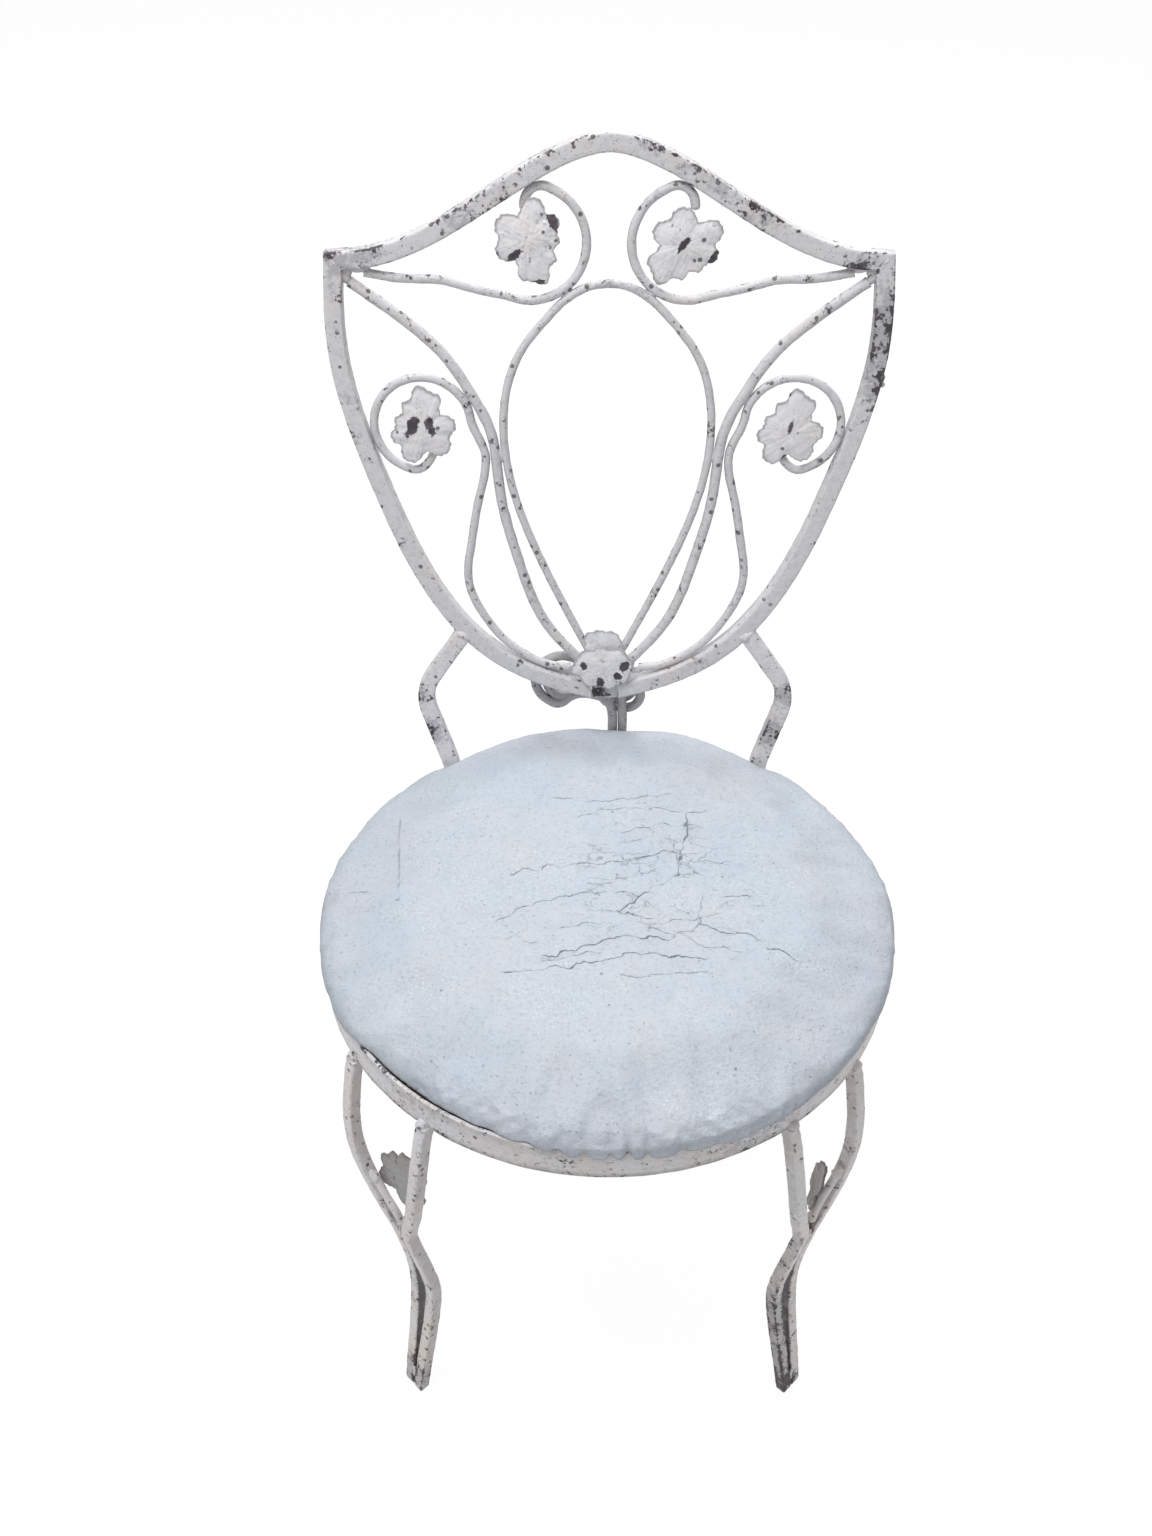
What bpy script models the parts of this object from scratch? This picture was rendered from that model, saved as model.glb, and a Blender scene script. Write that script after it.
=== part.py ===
"""Vanity chair: a welded iron frame with a shield back, and a loose round seat pad.

Everything is in metres, +Z up, the chair faces -Y and stands on Z = 0.
Most of the back is drawn flat, in the shield's own plane: x across, v up the
rake from the shield's tip, n forward out of the plane.
"""

from math import atan2, cos, hypot, pi, radians, sin, sqrt

import bmesh
import bpy
import numpy as np
from mathutils import Matrix, Vector

# Clearances
JOIN = 0.0003            # between pieces that are welded or seated together
PAD_CLEARANCE = 0.0033   # all round the seat board inside the ring
CUSHION_LIFT = 0.0005    # under the cushion's lip, over the ring

# Stock
BAR = 0.0127             # square bar of the shield's frame and the back posts
LEG_BAR = 0.0095         # square bar of the legs
SWEEP_ROD = 0.0076       # round rods from the shield's corners, and the rear scrolls
SCROLL_ROD = 0.0063      # round rods of the four back scrolls
OVAL_ROD = 0.0060
STEM_ROD = 0.0060
BAR_EASE = 0.0016        # eased edges of the bars
LEG_EASE = 0.0014
LEAF_SHEET = 0.0015

# Seat
RING_RADIUS = 0.200      # outside
RING_HEIGHT = 0.0254
RING_WALL = 0.0032
RING_UNDERSIDE = 0.370   # above the floor
TAB_LENGTH = 0.024
TAB_WIDTH = 0.020
TAB_SHEET = 0.003
TAB_RISE = 0.008         # top of the rest tabs above the ring's underside
BOARD_SHEET = 0.009
CUSHION_CROWN = 0.034    # above the ring's top edge
CUSHION_LIP = 0.0005     # how far inside the ring's outside the lip stops

# Shield
RAKE = radians(8.75)
TIP_INSIDE = 0.0032          # how far the tip stands inside the ring's outside
TIP_ABOVE_RING = 0.0725      # tip's height above the ring's underside
HALF_WIDTH = 0.185
SHOULDER = 0.334             # height of the corners, up the rake
CREST = 0.410                # height of the top rail's middle
OGEE = 0.87                  # how early the top rail starts to fall
FRAME_END = 0.0103           # half the gap between the frame's lower ends
TIP_V = 0.0020               # height of the side bars' middles at their lower ends
MITRE_SPARE = 0.012

# The side bar's curve, as shares of the half width and of the shoulder height
SIDE_CURVE = ((1.0, 1.0), (1.011, 0.82), (0.962, 0.665), (0.880, 0.515), (0.710, 0.284),
              (0.463, 0.111), (0.228, 0.040))

OVAL_TOP = ((0.0, 0.0), (0.0125, -0.0015), (0.0223, -0.0060), (0.0320, -0.0132), (0.0425, -0.0240))
OVAL_HALF_WIDTH = 0.0738
OVAL_WIDEST = 0.213
OVAL_SHOULDER = (0.0600, 0.2720)
OVAL_WAIST = (0.0470, 0.1100)
OVAL_FOOT = (0.0085, 0.0290)

SWEEP_START = (0.0096, 0.0145)   # in from the corner, and down from it
SWEEP_CURVE = ((0.134, 0.2885), (0.114, 0.269), (0.0965, 0.242))
SWEEP_TOUCH = 0.187              # height where it touches the oval
SWEEP_HALF_WAY = (0.0765, 0.1610)
SWEEP_WAIST = (0.0650, 0.1130)
SWEEP_HIP = (0.0465, 0.0630)
SWEEP_FOOT = (0.0195, 0.0290)

UPPER_RADIUS = 0.0382
UPPER_CENTRE_X = 0.0532
UPPER_TAIL = ((0.136, 0.3215), (0.113, 0.3205), (0.092, 0.3150))
UPPER_TAIL_START = 0.020         # in from the corner
UPPER_HOOK = ((-0.0085, 0.0372), (-0.0012, 0.0346), (0.0028, 0.0285), (0.0035, 0.0215))   # from its centre

LOWER_RADIUS = 0.0345
LOWER_CENTRE_V = 0.2185
LOWER_HOOK = ((-0.0075, -0.0198), (-0.0020, -0.0290), (0.0060, -0.0337))   # from its centre
LOWER_NECK = 0.200
LOWER_RUN = ((0.0925, 0.1640), (0.1000, 0.1250), (0.1030, 0.0980))
LOWER_ALONG = ((0.102, 1.7), (0.082, 1.25), (0.064, 1.06), (0.046, 1.06))   # along the frame, and how far off
LOWER_FOOT = (0.0260, 0.0225)

TIE_HEIGHT = 0.0110
TIE_SHEET = 0.0045
TIE_HOLE = 0.0034

# Back posts
POST_FOOT_ANGLE = radians(35.5)   # from straight back, round the ring
POST_ELBOW = (0.71, 0.94)         # from the seat's axis, as shares of the ring's radius
ELBOW_HEIGHT = 0.0810             # above the ring's underside
POST_MEETS = 0.170                # share of the shoulder height where it meets the frame
ELBOW_RADIUS = 0.014
POST_SHORT = 0.0030               # how far the post's end stops short of the frame bar's middle

# Rear scrolls, x and v in the shield's plane
STEM_MIDDLE = 0.0105              # the pair of stems stands this far right of the middle
STEM_BACK = 0.0014                # and passes the pad's edge this far behind the curls
LEFT_CURL = (-0.0330, 0.0050, 0.0215)      # centre and radius
RIGHT_CURL = (0.0120, -0.0080, 0.0165)

# Legs, in the leg's own radial plane
LEG_AZIMUTH = radians(46.5)
LEG_PROFILE = ((0.0, 0.0), (0.0060, 0.030), (0.0115, 0.075), (0.0095, 0.115), (0.0035, 0.160),
               (-0.0045, 0.205), (-0.0085, 0.243), (-0.0055, 0.275), (0.0030, 0.325))
LEG_FOOT_OUT = 0.0098
LEG_SPREAD = 0.0340               # half the spread of a leg's two bars at the ring
WIDE_SPREAD = 0.0405              # the same for the outer bar of the front left leg, set wider
LEG_MEET = 0.158                  # below the ring, where the two bars come together
LEG_KNEE = 0.243
LEG_KNEE_PART = 0.0045            # how far each bar leaves the other at the knee
LEG_STRAIGHT = 0.005              # upright run under the ring
FOOT_STRAIGHT = 0.006

LEG_STEM = (0.146, 0.106)         # its lower and upper end, below the ring
RIGHT_STEM = (0.134, 0.096)       # the same on the front right leg

# Leg leaves: below the ring, towards the outer bar, the tilt up, the turn outward and the
# spin in degrees, and the size against the back's leaves
LEG_LEAF = (0.0975, -0.001, 10, -4, -28, 1.0)
RIGHT_LEAF = (0.1180, 0.0125, -15, 30, 115, 0.78)
LEAF_INWARD = {"front_left": 0.0120, "front_right": 0.0109, "rear_left": 0.0113, "rear_right": 0.0127}

# Leaf stamping: lobes as (x, y, radius), all four leaves of the back are one stamping
LEAF_BODY = 0.0160
LEAF_LOBES = ((-0.0017, 0.0263, 0.0058), (0.0070, 0.0210, 0.0062), (-0.0103, 0.0166, 0.0048),
              (-0.0156, 0.0060, 0.0050), (-0.0176, -0.0048, 0.0062), (-0.0093, -0.0170, 0.0078),
              (0.0102, -0.0112, 0.0086), (0.0148, 0.0028, 0.0080))
LEAF_CROWN = 0.0025
LEAF_POINTS = 48

# Leaf and bud over the tip: where their middles are, their turn in degrees and their size
TIP_LEAF = (0.0030, 0.0215, 92, 0.86)
TIP_BUD = (-0.0010, 0.0335, -4, 0.62)

BACK_LEAVES = (
    ("upper_leaf_left", (-0.0545, 0.3490), 197),
    ("upper_leaf_right", (0.0500, 0.3460), 142),
    ("lower_leaf_left", (-0.1300, 0.2165), 0),
    ("lower_leaf_right", (0.1300, 0.2145), -9),
)

# Mesh fineness
STEP = 0.0125
CURL_STEP = 0.0078
RING_STEPS = 96

TIP_BEHIND_SEAT = RING_RADIUS - TIP_INSIDE
SHIELD_REACH = TIP_BEHIND_SEAT + CREST * sin(RAKE) + BAR / 2 * (sin(RAKE) + cos(RAKE))
SEAT_Y = -(SHIELD_REACH - RING_RADIUS) / 2
RING_INSIDE = RING_RADIUS - RING_WALL

SHIELD_UP = Vector((0, sin(RAKE), cos(RAKE)))
SHIELD_OUT = Vector((0, -cos(RAKE), sin(RAKE)))
TIP = Vector((0, SEAT_Y + TIP_BEHIND_SEAT, RING_UNDERSIDE + TIP_ABOVE_RING))


def clear_scene():
    for item in list(bpy.data.objects):
        bpy.data.objects.remove(item)


def collection(name):
    made = bpy.data.collections.new(name)
    bpy.context.scene.collection.children.link(made)
    return made


def material(name, colour, roughness, metallic):
    made = bpy.data.materials.new(name)
    made.use_nodes = True
    shader = made.node_tree.nodes["Principled BSDF"]
    shader.inputs["Base Color"].default_value = (*colour, 1)
    shader.inputs["Roughness"].default_value = roughness
    shader.inputs["Metallic"].default_value = metallic
    return made


def frame_matrix(origin, x_axis, y_axis, z_axis):
    """Matrix of a local frame from its origin and its three axes."""
    rows = Matrix((x_axis, y_axis, z_axis)).transposed().to_4x4()
    rows.translation = origin
    return rows


def shield_frame(n=0.0):
    """The shield's own frame: x across, y up the rake, z out to the front."""
    return frame_matrix(TIP + SHIELD_OUT * n, Vector((1, 0, 0)), SHIELD_UP, SHIELD_OUT)


# Curves as points

def fine_curve(points):
    """Closely spaced points along the natural cubic spline through the given points."""
    p = np.array(points, float)
    span = np.linalg.norm(np.diff(p, axis=0), axis=1)
    n = len(p)
    matrix = np.eye(n)
    right = np.zeros_like(p)
    for i in range(1, n - 1):
        matrix[i, i - 1:i + 2] = span[i - 1], 2 * (span[i - 1] + span[i]), span[i]
        right[i] = 6 * ((p[i + 1] - p[i]) / span[i] - (p[i] - p[i - 1]) / span[i - 1])
    bend = np.linalg.solve(matrix, right)
    pieces = []
    for i in range(n - 1):
        h = span[i]
        t = np.linspace(0, h, 33)[:-1, None]
        a = (h - t) / h
        b = t / h
        pieces.append(a * p[i] + b * p[i + 1]
                      + ((a ** 3 - a) * bend[i] + (b ** 3 - b) * bend[i + 1]) * h * h / 6)
    return np.vstack(pieces + [p[-1:]])


def spaced(points, step):
    """The same curve with its points at even distances of about one step."""
    p = np.array(points, float)
    along = np.concatenate([[0], np.cumsum(np.linalg.norm(np.diff(p, axis=0), axis=1))])
    count = max(2, int(round(along[-1] / step)))
    at = np.linspace(0, along[-1], count + 1)
    return np.stack([np.interp(at, along, p[:, k]) for k in range(p.shape[1])], 1)


def smooth(points, step):
    return spaced(fine_curve(points), step)


def least_distance(a, b):
    """Least distance from the points of one curve to the line of another."""
    start = b[:-1][None]
    line = (b[1:] - b[:-1])[None]
    share = ((a[:, None] - start) * line).sum(2) / (line ** 2).sum(2)
    near = start + np.clip(share, 0, 1)[..., None] * line
    return np.linalg.norm(a[:, None] - near, axis=2).min()


def beside(path, x, distance):
    """Point on the inner side of a flat path, this far from where the path passes x."""
    i = int(np.argmin(np.abs(path[:, 0] - x)))
    i = min(max(i, 1), len(path) - 2)
    along = path[i + 1] - path[i - 1]
    along = along / np.linalg.norm(along)
    side = np.array([along[1], -along[0]])
    if side[1] < 0:
        side = -side
    return path[i] + side * distance


def solve(measure, target, low, high):
    """Value between low and high where a rising measure reaches its target."""
    for _ in range(40):
        middle = (low + high) / 2
        if measure(middle) < target:
            low = middle
        else:
            high = middle
    return high


def arc(centre, radius, start, end, count):
    """Points of an arc; the angles are in degrees."""
    points = []
    for k in range(count + 1):
        share = k / count
        angle = radians(start + (end - start) * share)
        points.append((centre[0] + radius * cos(angle), centre[1] + radius * sin(angle)))
    return points


# The shield's lines, for the right-hand side

def rail_line():
    """The top rail's ogee from one corner to the other."""
    xs = np.linspace(-HALF_WIDTH, HALF_WIDTH, 161)
    fall = 0.5 + 0.5 * np.cos(pi * np.abs(xs / HALF_WIDTH) ** OGEE)
    return np.stack([xs, SHOULDER + (CREST - SHOULDER) * fall], 1)


def side_line():
    """The side bar from its corner down to its end beside the tip."""
    points = [(HALF_WIDTH * a, SHOULDER * b) for a, b in SIDE_CURVE]
    points.append((FRAME_END * 0.3, TIP_V))
    return fine_curve(points)


def upper_scroll_points(centre_v):
    centre = (UPPER_CENTRE_X, centre_v)
    under_rail = (BAR + SCROLL_ROD) / 2 + JOIN
    start_x = HALF_WIDTH - UPPER_TAIL_START
    rail = rail_line()
    rail_v = np.interp(start_x, rail[:, 0], rail[:, 1])
    points = [(start_x, rail_v - under_rail * 1.01)]
    points += UPPER_TAIL
    points += arc(centre, UPPER_RADIUS, 292, 114, 12)
    points += [(centre[0] + x, centre[1] + v) for x, v in UPPER_HOOK]
    return points


def upper_scroll_line():
    """The upper scroll, raised until its round just reaches the top rail."""
    rail = rail_line()
    gap = (BAR + SCROLL_ROD) / 2 + JOIN

    def lowered(drop):
        return least_distance(fine_curve(upper_scroll_points(CREST - drop))[120:], rail)

    drop = solve(lowered, gap, UPPER_RADIUS, UPPER_RADIUS + 0.08)
    return fine_curve(upper_scroll_points(CREST - drop))


def oval_points(top):
    half = [(x, top + v) for x, v in OVAL_TOP]
    half += [OVAL_SHOULDER, (OVAL_HALF_WIDTH, OVAL_WIDEST), OVAL_WAIST, OVAL_FOOT]
    left = [(-x, v) for x, v in reversed(half[1:])]
    return left + half


def oval_line():
    """The oval, raised until it just reaches the two upper scrolls."""
    scroll = upper_scroll_line()
    gap = (OVAL_ROD + SCROLL_ROD) / 2 + JOIN

    def lowered(drop):
        return least_distance(fine_curve(oval_points(CREST - drop)), scroll)

    drop = solve(lowered, gap, 0.06, 0.16)
    return fine_curve(oval_points(CREST - drop))


def sweep_points(touch_x):
    start = (HALF_WIDTH - SWEEP_START[0], SHOULDER - SWEEP_START[1])
    return [start, *SWEEP_CURVE, (touch_x + 0.0040, SWEEP_TOUCH + 0.027), (touch_x, SWEEP_TOUCH),
            SWEEP_HALF_WAY, SWEEP_WAIST, SWEEP_HIP, SWEEP_FOOT]


def sweep_line():
    """The rod from the corner to the tip, set against the oval's side."""
    oval = oval_line()
    oval = oval[oval[:, 0] > 0]
    gap = (OVAL_ROD + SWEEP_ROD) / 2 + JOIN
    touch = solve(lambda x: least_distance(fine_curve(sweep_points(x)), oval), gap,
                  OVAL_HALF_WIDTH - 0.01, OVAL_HALF_WIDTH + 0.03)
    return fine_curve(sweep_points(touch))


def lower_scroll_points(centre_x, neck_x):
    side = side_line()
    along = (BAR + SCROLL_ROD) / 2 + JOIN
    centre = (centre_x, LOWER_CENTRE_V)
    points = [(centre_x + x, LOWER_CENTRE_V + v) for x, v in LOWER_HOOK]
    points += arc(centre, LOWER_RADIUS, -66, 176, 16)
    points += [(neck_x, LOWER_NECK), *LOWER_RUN]
    points += [tuple(beside(side, x, along * share)) for x, share in LOWER_ALONG]
    return points + [LOWER_FOOT]


def lower_scroll_line():
    """The lower scroll: its round against the side bar, its neck against the sweep rod."""
    side = side_line()
    sweep = sweep_line()
    against_side = (BAR + SCROLL_ROD) / 2 + JOIN
    against_sweep = (SWEEP_ROD + SCROLL_ROD) / 2 + JOIN

    def from_side(shift):
        points = lower_scroll_points(HALF_WIDTH - shift, 0.09)[:16]
        return least_distance(fine_curve(points), side)

    centre_x = HALF_WIDTH - solve(from_side, against_side, LOWER_RADIUS, LOWER_RADIUS + 0.08)

    def from_sweep(neck_x):
        line = fine_curve(lower_scroll_points(centre_x, neck_x))
        neck = line[(np.abs(line[:, 1] - LOWER_NECK) < 0.03) & (line[:, 0] < centre_x)]
        return least_distance(neck, sweep)

    neck_x = solve(from_sweep, against_sweep, 0.084, 0.100) + JOIN / 2
    return fine_curve(lower_scroll_points(centre_x, neck_x))


# Mesh makers

def mesh_object(name, mesh, where, paint, into):
    made = bpy.data.objects.new(name, mesh)
    into.objects.link(made)
    made.matrix_world = where
    mesh.materials.append(paint)
    return made


def from_curve(name, curve, where, paint, into):
    """Mesh object from a curve with a bevel: caps welded on, faces outward, curve dropped."""
    holder = bpy.data.objects.new(name + "_curve", curve)
    bpy.context.scene.collection.objects.link(holder)
    found = holder.evaluated_get(bpy.context.evaluated_depsgraph_get())
    mesh = bpy.data.meshes.new_from_object(found)
    bpy.data.objects.remove(holder)
    bpy.data.curves.remove(curve)
    mesh.name = name
    work = bmesh.new()
    work.from_mesh(mesh)
    bmesh.ops.remove_doubles(work, verts=work.verts, dist=1e-6)
    bmesh.ops.recalc_face_normals(work, faces=work.faces)
    work.to_mesh(mesh)
    work.free()
    mesh.materials.clear()
    return mesh_object(name, mesh, where, paint, into)


def path_curve(name, points):
    curve = bpy.data.curves.new(name, "CURVE")
    curve.dimensions = "3D"
    curve.twist_mode = "Z_UP"
    curve.use_fill_caps = True
    line = curve.splines.new("POLY")
    line.points.add(len(points) - 1)
    for point, at in zip(line.points, points):
        point.co = (at[0], at[1], at[2] if len(at) > 2 else 0, 1)
    return curve


def rod(name, points, thickness, where, paint, into, sides=2):
    """Round rod along the points."""
    curve = path_curve(name, points)
    curve.bevel_depth = thickness / 2
    curve.bevel_resolution = sides
    return from_curve(name, curve, where, paint, into)


def bar(name, points, width, ease, where, paint, into):
    """Square bar with eased edges along the points, two faces kept along the local z."""
    half = width / 2
    inner = half - ease
    section = bpy.data.curves.new(name + "_section", "CURVE")
    outline = section.splines.new("POLY")
    corners = [(half, -inner), (half, inner), (inner, half), (-inner, half),
               (-half, inner), (-half, -inner), (-inner, -half), (inner, -half)]
    outline.points.add(len(corners) - 1)
    for point, (x, y) in zip(outline.points, corners):
        point.co = (x, y, 0, 1)
    outline.use_cyclic_u = True
    profile = bpy.data.objects.new(name + "_section", section)
    bpy.context.scene.collection.objects.link(profile)
    curve = path_curve(name, points)
    curve.bevel_mode = "OBJECT"
    curve.bevel_object = profile
    made = from_curve(name, curve, where, paint, into)
    bpy.data.objects.remove(profile)
    bpy.data.curves.remove(section)
    return made


def turned(name, profile, steps, where, paint, into, closed=False):
    """Solid of revolution about its own z axis from a profile at +X."""
    mesh = bpy.data.meshes.new(name)
    edges = [(i, i + 1) for i in range(len(profile) - 1)]
    if closed:
        edges.append((len(profile) - 1, 0))
    mesh.from_pydata([(r, 0, z) for r, z in profile], edges, [])
    made = mesh_object(name, mesh, where, paint, into)
    spin = made.modifiers.new("turn", "SCREW")
    spin.steps = steps
    spin.render_steps = steps
    spin.use_merge_vertices = True
    spin.merge_threshold = 0.00001
    spin.use_normal_calculate = False
    return made


def block(name, size, where, paint, into):
    mesh = bpy.data.meshes.new(name)
    work = bmesh.new()
    bmesh.ops.create_cube(work, size=1)
    bmesh.ops.scale(work, verts=work.verts, vec=size)
    work.to_mesh(mesh)
    work.free()
    return mesh_object(name, mesh, where, paint, into)


def as_cutter(item):
    item.hide_render = True
    item.display_type = "WIRE"
    return item


def cut(item, cutter):
    step = item.modifiers.new("cut", "BOOLEAN")
    step.operation = "DIFFERENCE"
    step.solver = "EXACT"
    step.object = cutter


def leaf_reach(angle):
    """Distance from the leaf's middle to its edge, the union of its body and lobes."""
    reach = LEAF_BODY
    for x, y, radius in LEAF_LOBES:
        out = hypot(x, y)
        off = angle - atan2(y, x)
        inside = radius ** 2 - (out * sin(off)) ** 2
        if inside >= 0 and cos(off) > 0:
            reach = max(reach, out * cos(off) + sqrt(inside))
    return reach


def leaf(name, where, paint, into, scale=1.0, crown=LEAF_CROWN):
    """Stamped leaf, crowned to its front, with its edge's back face in the local plane z = 0."""
    mesh = bpy.data.meshes.new(name)
    work = bmesh.new()
    bmesh.ops.create_circle(work, cap_ends=True, cap_tris=True, segments=LEAF_POINTS, radius=1)
    for vert in work.verts:
        if vert.co.length < 0.5:
            vert.co = (0, 0, crown)
            continue
        angle = atan2(vert.co.y, vert.co.x)
        reach = leaf_reach(angle) * scale
        vert.co = (reach * cos(angle), reach * sin(angle), 0)
    bmesh.ops.recalc_face_normals(work, faces=work.faces)
    if sum(face.normal.z for face in work.faces) < 0:
        bmesh.ops.reverse_faces(work, faces=work.faces)
    work.to_mesh(mesh)
    work.free()
    made = mesh_object(name, mesh, where, paint, into)
    sheet = made.modifiers.new("sheet", "SOLIDIFY")
    sheet.thickness = LEAF_SHEET
    sheet.offset = 1
    return made


# The pieces

def seat_ring(paint, into):
    profile = [(RING_INSIDE, RING_HEIGHT), (RING_RADIUS, RING_HEIGHT), (RING_RADIUS, 0), (RING_INSIDE, 0)]
    where = Matrix.Translation((0, SEAT_Y, RING_UNDERSIDE))
    turned("seat_ring", profile, RING_STEPS, where, paint, into, closed=True)


def rest_tabs(paint, into):
    """Four flat tabs inside the ring that carry the seat board."""
    wall = sqrt((RING_INSIDE * cos(pi / RING_STEPS) - JOIN) ** 2 - (TAB_WIDTH / 2) ** 2)
    for side, angle in (("front", -90), ("right", 0), ("rear", 90), ("left", 180)):
        out = wall - TAB_LENGTH / 2
        spot = Vector((out * cos(radians(angle)), out * sin(radians(angle)), 0))
        spot += Vector((0, SEAT_Y, RING_UNDERSIDE + TAB_RISE - TAB_SHEET / 2))
        where = Matrix.Translation(spot) @ Matrix.Rotation(radians(angle), 4, "Z")
        block("seat_rest_tab_" + side, (TAB_LENGTH, TAB_WIDTH, TAB_SHEET), where, paint, into)


def seat_board(paint, into):
    radius = RING_INSIDE - PAD_CLEARANCE
    profile = [(0, BOARD_SHEET), (radius, BOARD_SHEET), (radius, 0), (0, 0)]
    where = Matrix.Translation((0, SEAT_Y, RING_UNDERSIDE + TAB_RISE + JOIN))
    turned("seat_board", profile, 64, where, paint, into)


def seat_cushion(paint, into):
    """Domed pad on the board, drawn in at the sides, with a lip over the ring's top edge."""
    inside = RING_INSIDE - PAD_CLEARANCE
    lip = RING_RADIUS - CUSHION_LIP
    under = TAB_RISE + 2 * JOIN + BOARD_SHEET
    over = RING_HEIGHT + CUSHION_LIFT
    rise = RING_HEIGHT + CUSHION_CROWN - over
    profile = [(0, over + rise)]
    for share, height in ((0.22, 0.985), (0.42, 0.93), (0.60, 0.84), (0.76, 0.70), (0.88, 0.53),
                          (0.95, 0.37), (0.985, 0.22), (1.0, 0.10), (0.996, 0.02)):
        profile.append((lip * share, over + rise * height))
    profile += [(lip - 0.003, over), (inside, over), (inside, under), (0, under)]
    where = Matrix.Translation((0, SEAT_Y, RING_UNDERSIDE))
    turned("seat_cushion", profile, 64, where, paint, into)


def mitre_cutter(name, at, normal, into):
    """A block whose face passes half a joint gap short of the mitre plane through a point."""
    out = Vector((normal[0], normal[1], 0)).normalized()
    size = 4 * BAR
    across = Vector((-out.y, out.x, 0))
    middle = Vector((at[0], at[1], 0)) + out * (size / 2 - JOIN / 2)
    local = frame_matrix(middle, out, across, Vector((0, 0, 1)))
    return as_cutter(block(name, (size, size, size), shield_frame() @ local, None, into))


def shield_frame_bars(paint, into, cutters):
    """Top rail and the two side bars, mitred to each other at the corners."""
    rail = spaced(rail_line(), STEP)
    first = rail[0] + (rail[0] - rail[1]) / np.linalg.norm(rail[0] - rail[1]) * MITRE_SPARE
    last = rail[-1] + (rail[-1] - rail[-2]) / np.linalg.norm(rail[-1] - rail[-2]) * MITRE_SPARE
    rail_points = np.vstack([first, rail, last])
    top = bar("back_top_rail", rail_points, BAR, BAR_EASE, shield_frame(), paint, into)
    side = spaced(side_line(), STEP)
    start = side[0] + (side[0] - side[1]) / np.linalg.norm(side[0] - side[1]) * MITRE_SPARE
    side_points = np.vstack([start, side])
    for name, hand in (("left", -1), ("right", 1)):
        mirrored = side_points * (hand, 1)
        made = bar("back_side_" + name, mirrored, BAR, BAR_EASE, shield_frame(), paint, into)
        corner = (hand * HALF_WIDTH, SHOULDER)
        cut(top, mitre_cutter("mitre_rail_" + name, corner, (hand, -1), cutters))
        cut(made, mitre_cutter("mitre_side_" + name, corner, (-hand, 1), cutters))
        cut(made, mitre_cutter("end_side_" + name, (hand * FRAME_END, TIP_V), (-hand, 0), cutters))


def back_rods(paint, into):
    """The oval, the two sweep rods and the four scrolls, centred in the frame's thickness."""
    flat = shield_frame()
    rod("back_oval", spaced(oval_line(), STEP), OVAL_ROD, flat, paint, into)
    for name, hand in (("left", -1), ("right", 1)):
        lines = (("back_sweep_", sweep_line(), SWEEP_ROD, STEP),
                 ("upper_scroll_", upper_scroll_line(), SCROLL_ROD, CURL_STEP),
                 ("lower_scroll_", lower_scroll_line(), SCROLL_ROD, CURL_STEP))
        for start, line, thickness, step in lines:
            rod(start + name, spaced(line * (hand, 1), step), thickness, flat, paint, into)


def back_leaves(paint, into):
    """The stamping four times on the scroll ends, and twice over the tip."""
    on_rods = SCROLL_ROD / 2 + JOIN
    for name, (x, v), turn in BACK_LEAVES:
        where = shield_frame(on_rods) @ Matrix.Translation((x, v, 0)) @ Matrix.Rotation(radians(turn), 4, "Z")
        leaf(name, where, paint, into)
    on_frame = BAR / 2 + JOIN
    on_sweep = SWEEP_ROD / 2 + JOIN
    for name, (x, v, turn, scale), under, crown in (("tip_leaf", TIP_LEAF, on_frame, LEAF_CROWN),
                                                    ("tip_bud", TIP_BUD, on_sweep, 0.0008)):
        where = shield_frame(under) @ Matrix.Translation((x, v, 0)) @ Matrix.Rotation(radians(turn), 4, "Z")
        leaf(name, where, paint, into, scale=scale, crown=crown)


def tie_plate(paint, into):
    """Small plate with a hole that closes the gap between the frame's lower ends."""
    curve = bpy.data.curves.new("back_tie_plate", "CURVE")
    curve.dimensions = "2D"
    curve.fill_mode = "BOTH"
    curve.extrude = TIE_SHEET / 2
    half = FRAME_END - JOIN / 2
    edge = [(-half, -TIE_HEIGHT / 2), (half, -TIE_HEIGHT / 2), (half, TIE_HEIGHT / 2), (-half, TIE_HEIGHT / 2)]
    hole = arc((0.003, -0.0005), TIE_HOLE / 2, 0, 330, 11)
    for outline in (edge, hole):
        line = curve.splines.new("POLY")
        line.points.add(len(outline) - 1)
        for point, (x, y) in zip(line.points, outline):
            point.co = (x, y, 0, 1)
        line.use_cyclic_u = True
    where = shield_frame() @ Matrix.Translation((0, TIP_V, 0))
    from_curve("back_tie_plate", curve, where, paint, into)


def rounded(corner_before, corner, corner_after, radius, count=6):
    """Points that round a corner of a path of straight runs."""
    back = (corner_before - corner).normalized()
    on = (corner_after - corner).normalized()
    half = back.angle(on) / 2
    reach = radius / np.tan(half)
    middle = corner + (back + on).normalized() * (radius / sin(half))
    start = corner + back * reach
    points = []
    turn = pi - 2 * half
    for k in range(count + 1):
        share = k / count
        a = start - middle
        b = (corner + on * reach) - middle
        points.append(middle + (a * sin((1 - share) * turn) + b * sin(share * turn)) / sin(turn))
    return points


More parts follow.
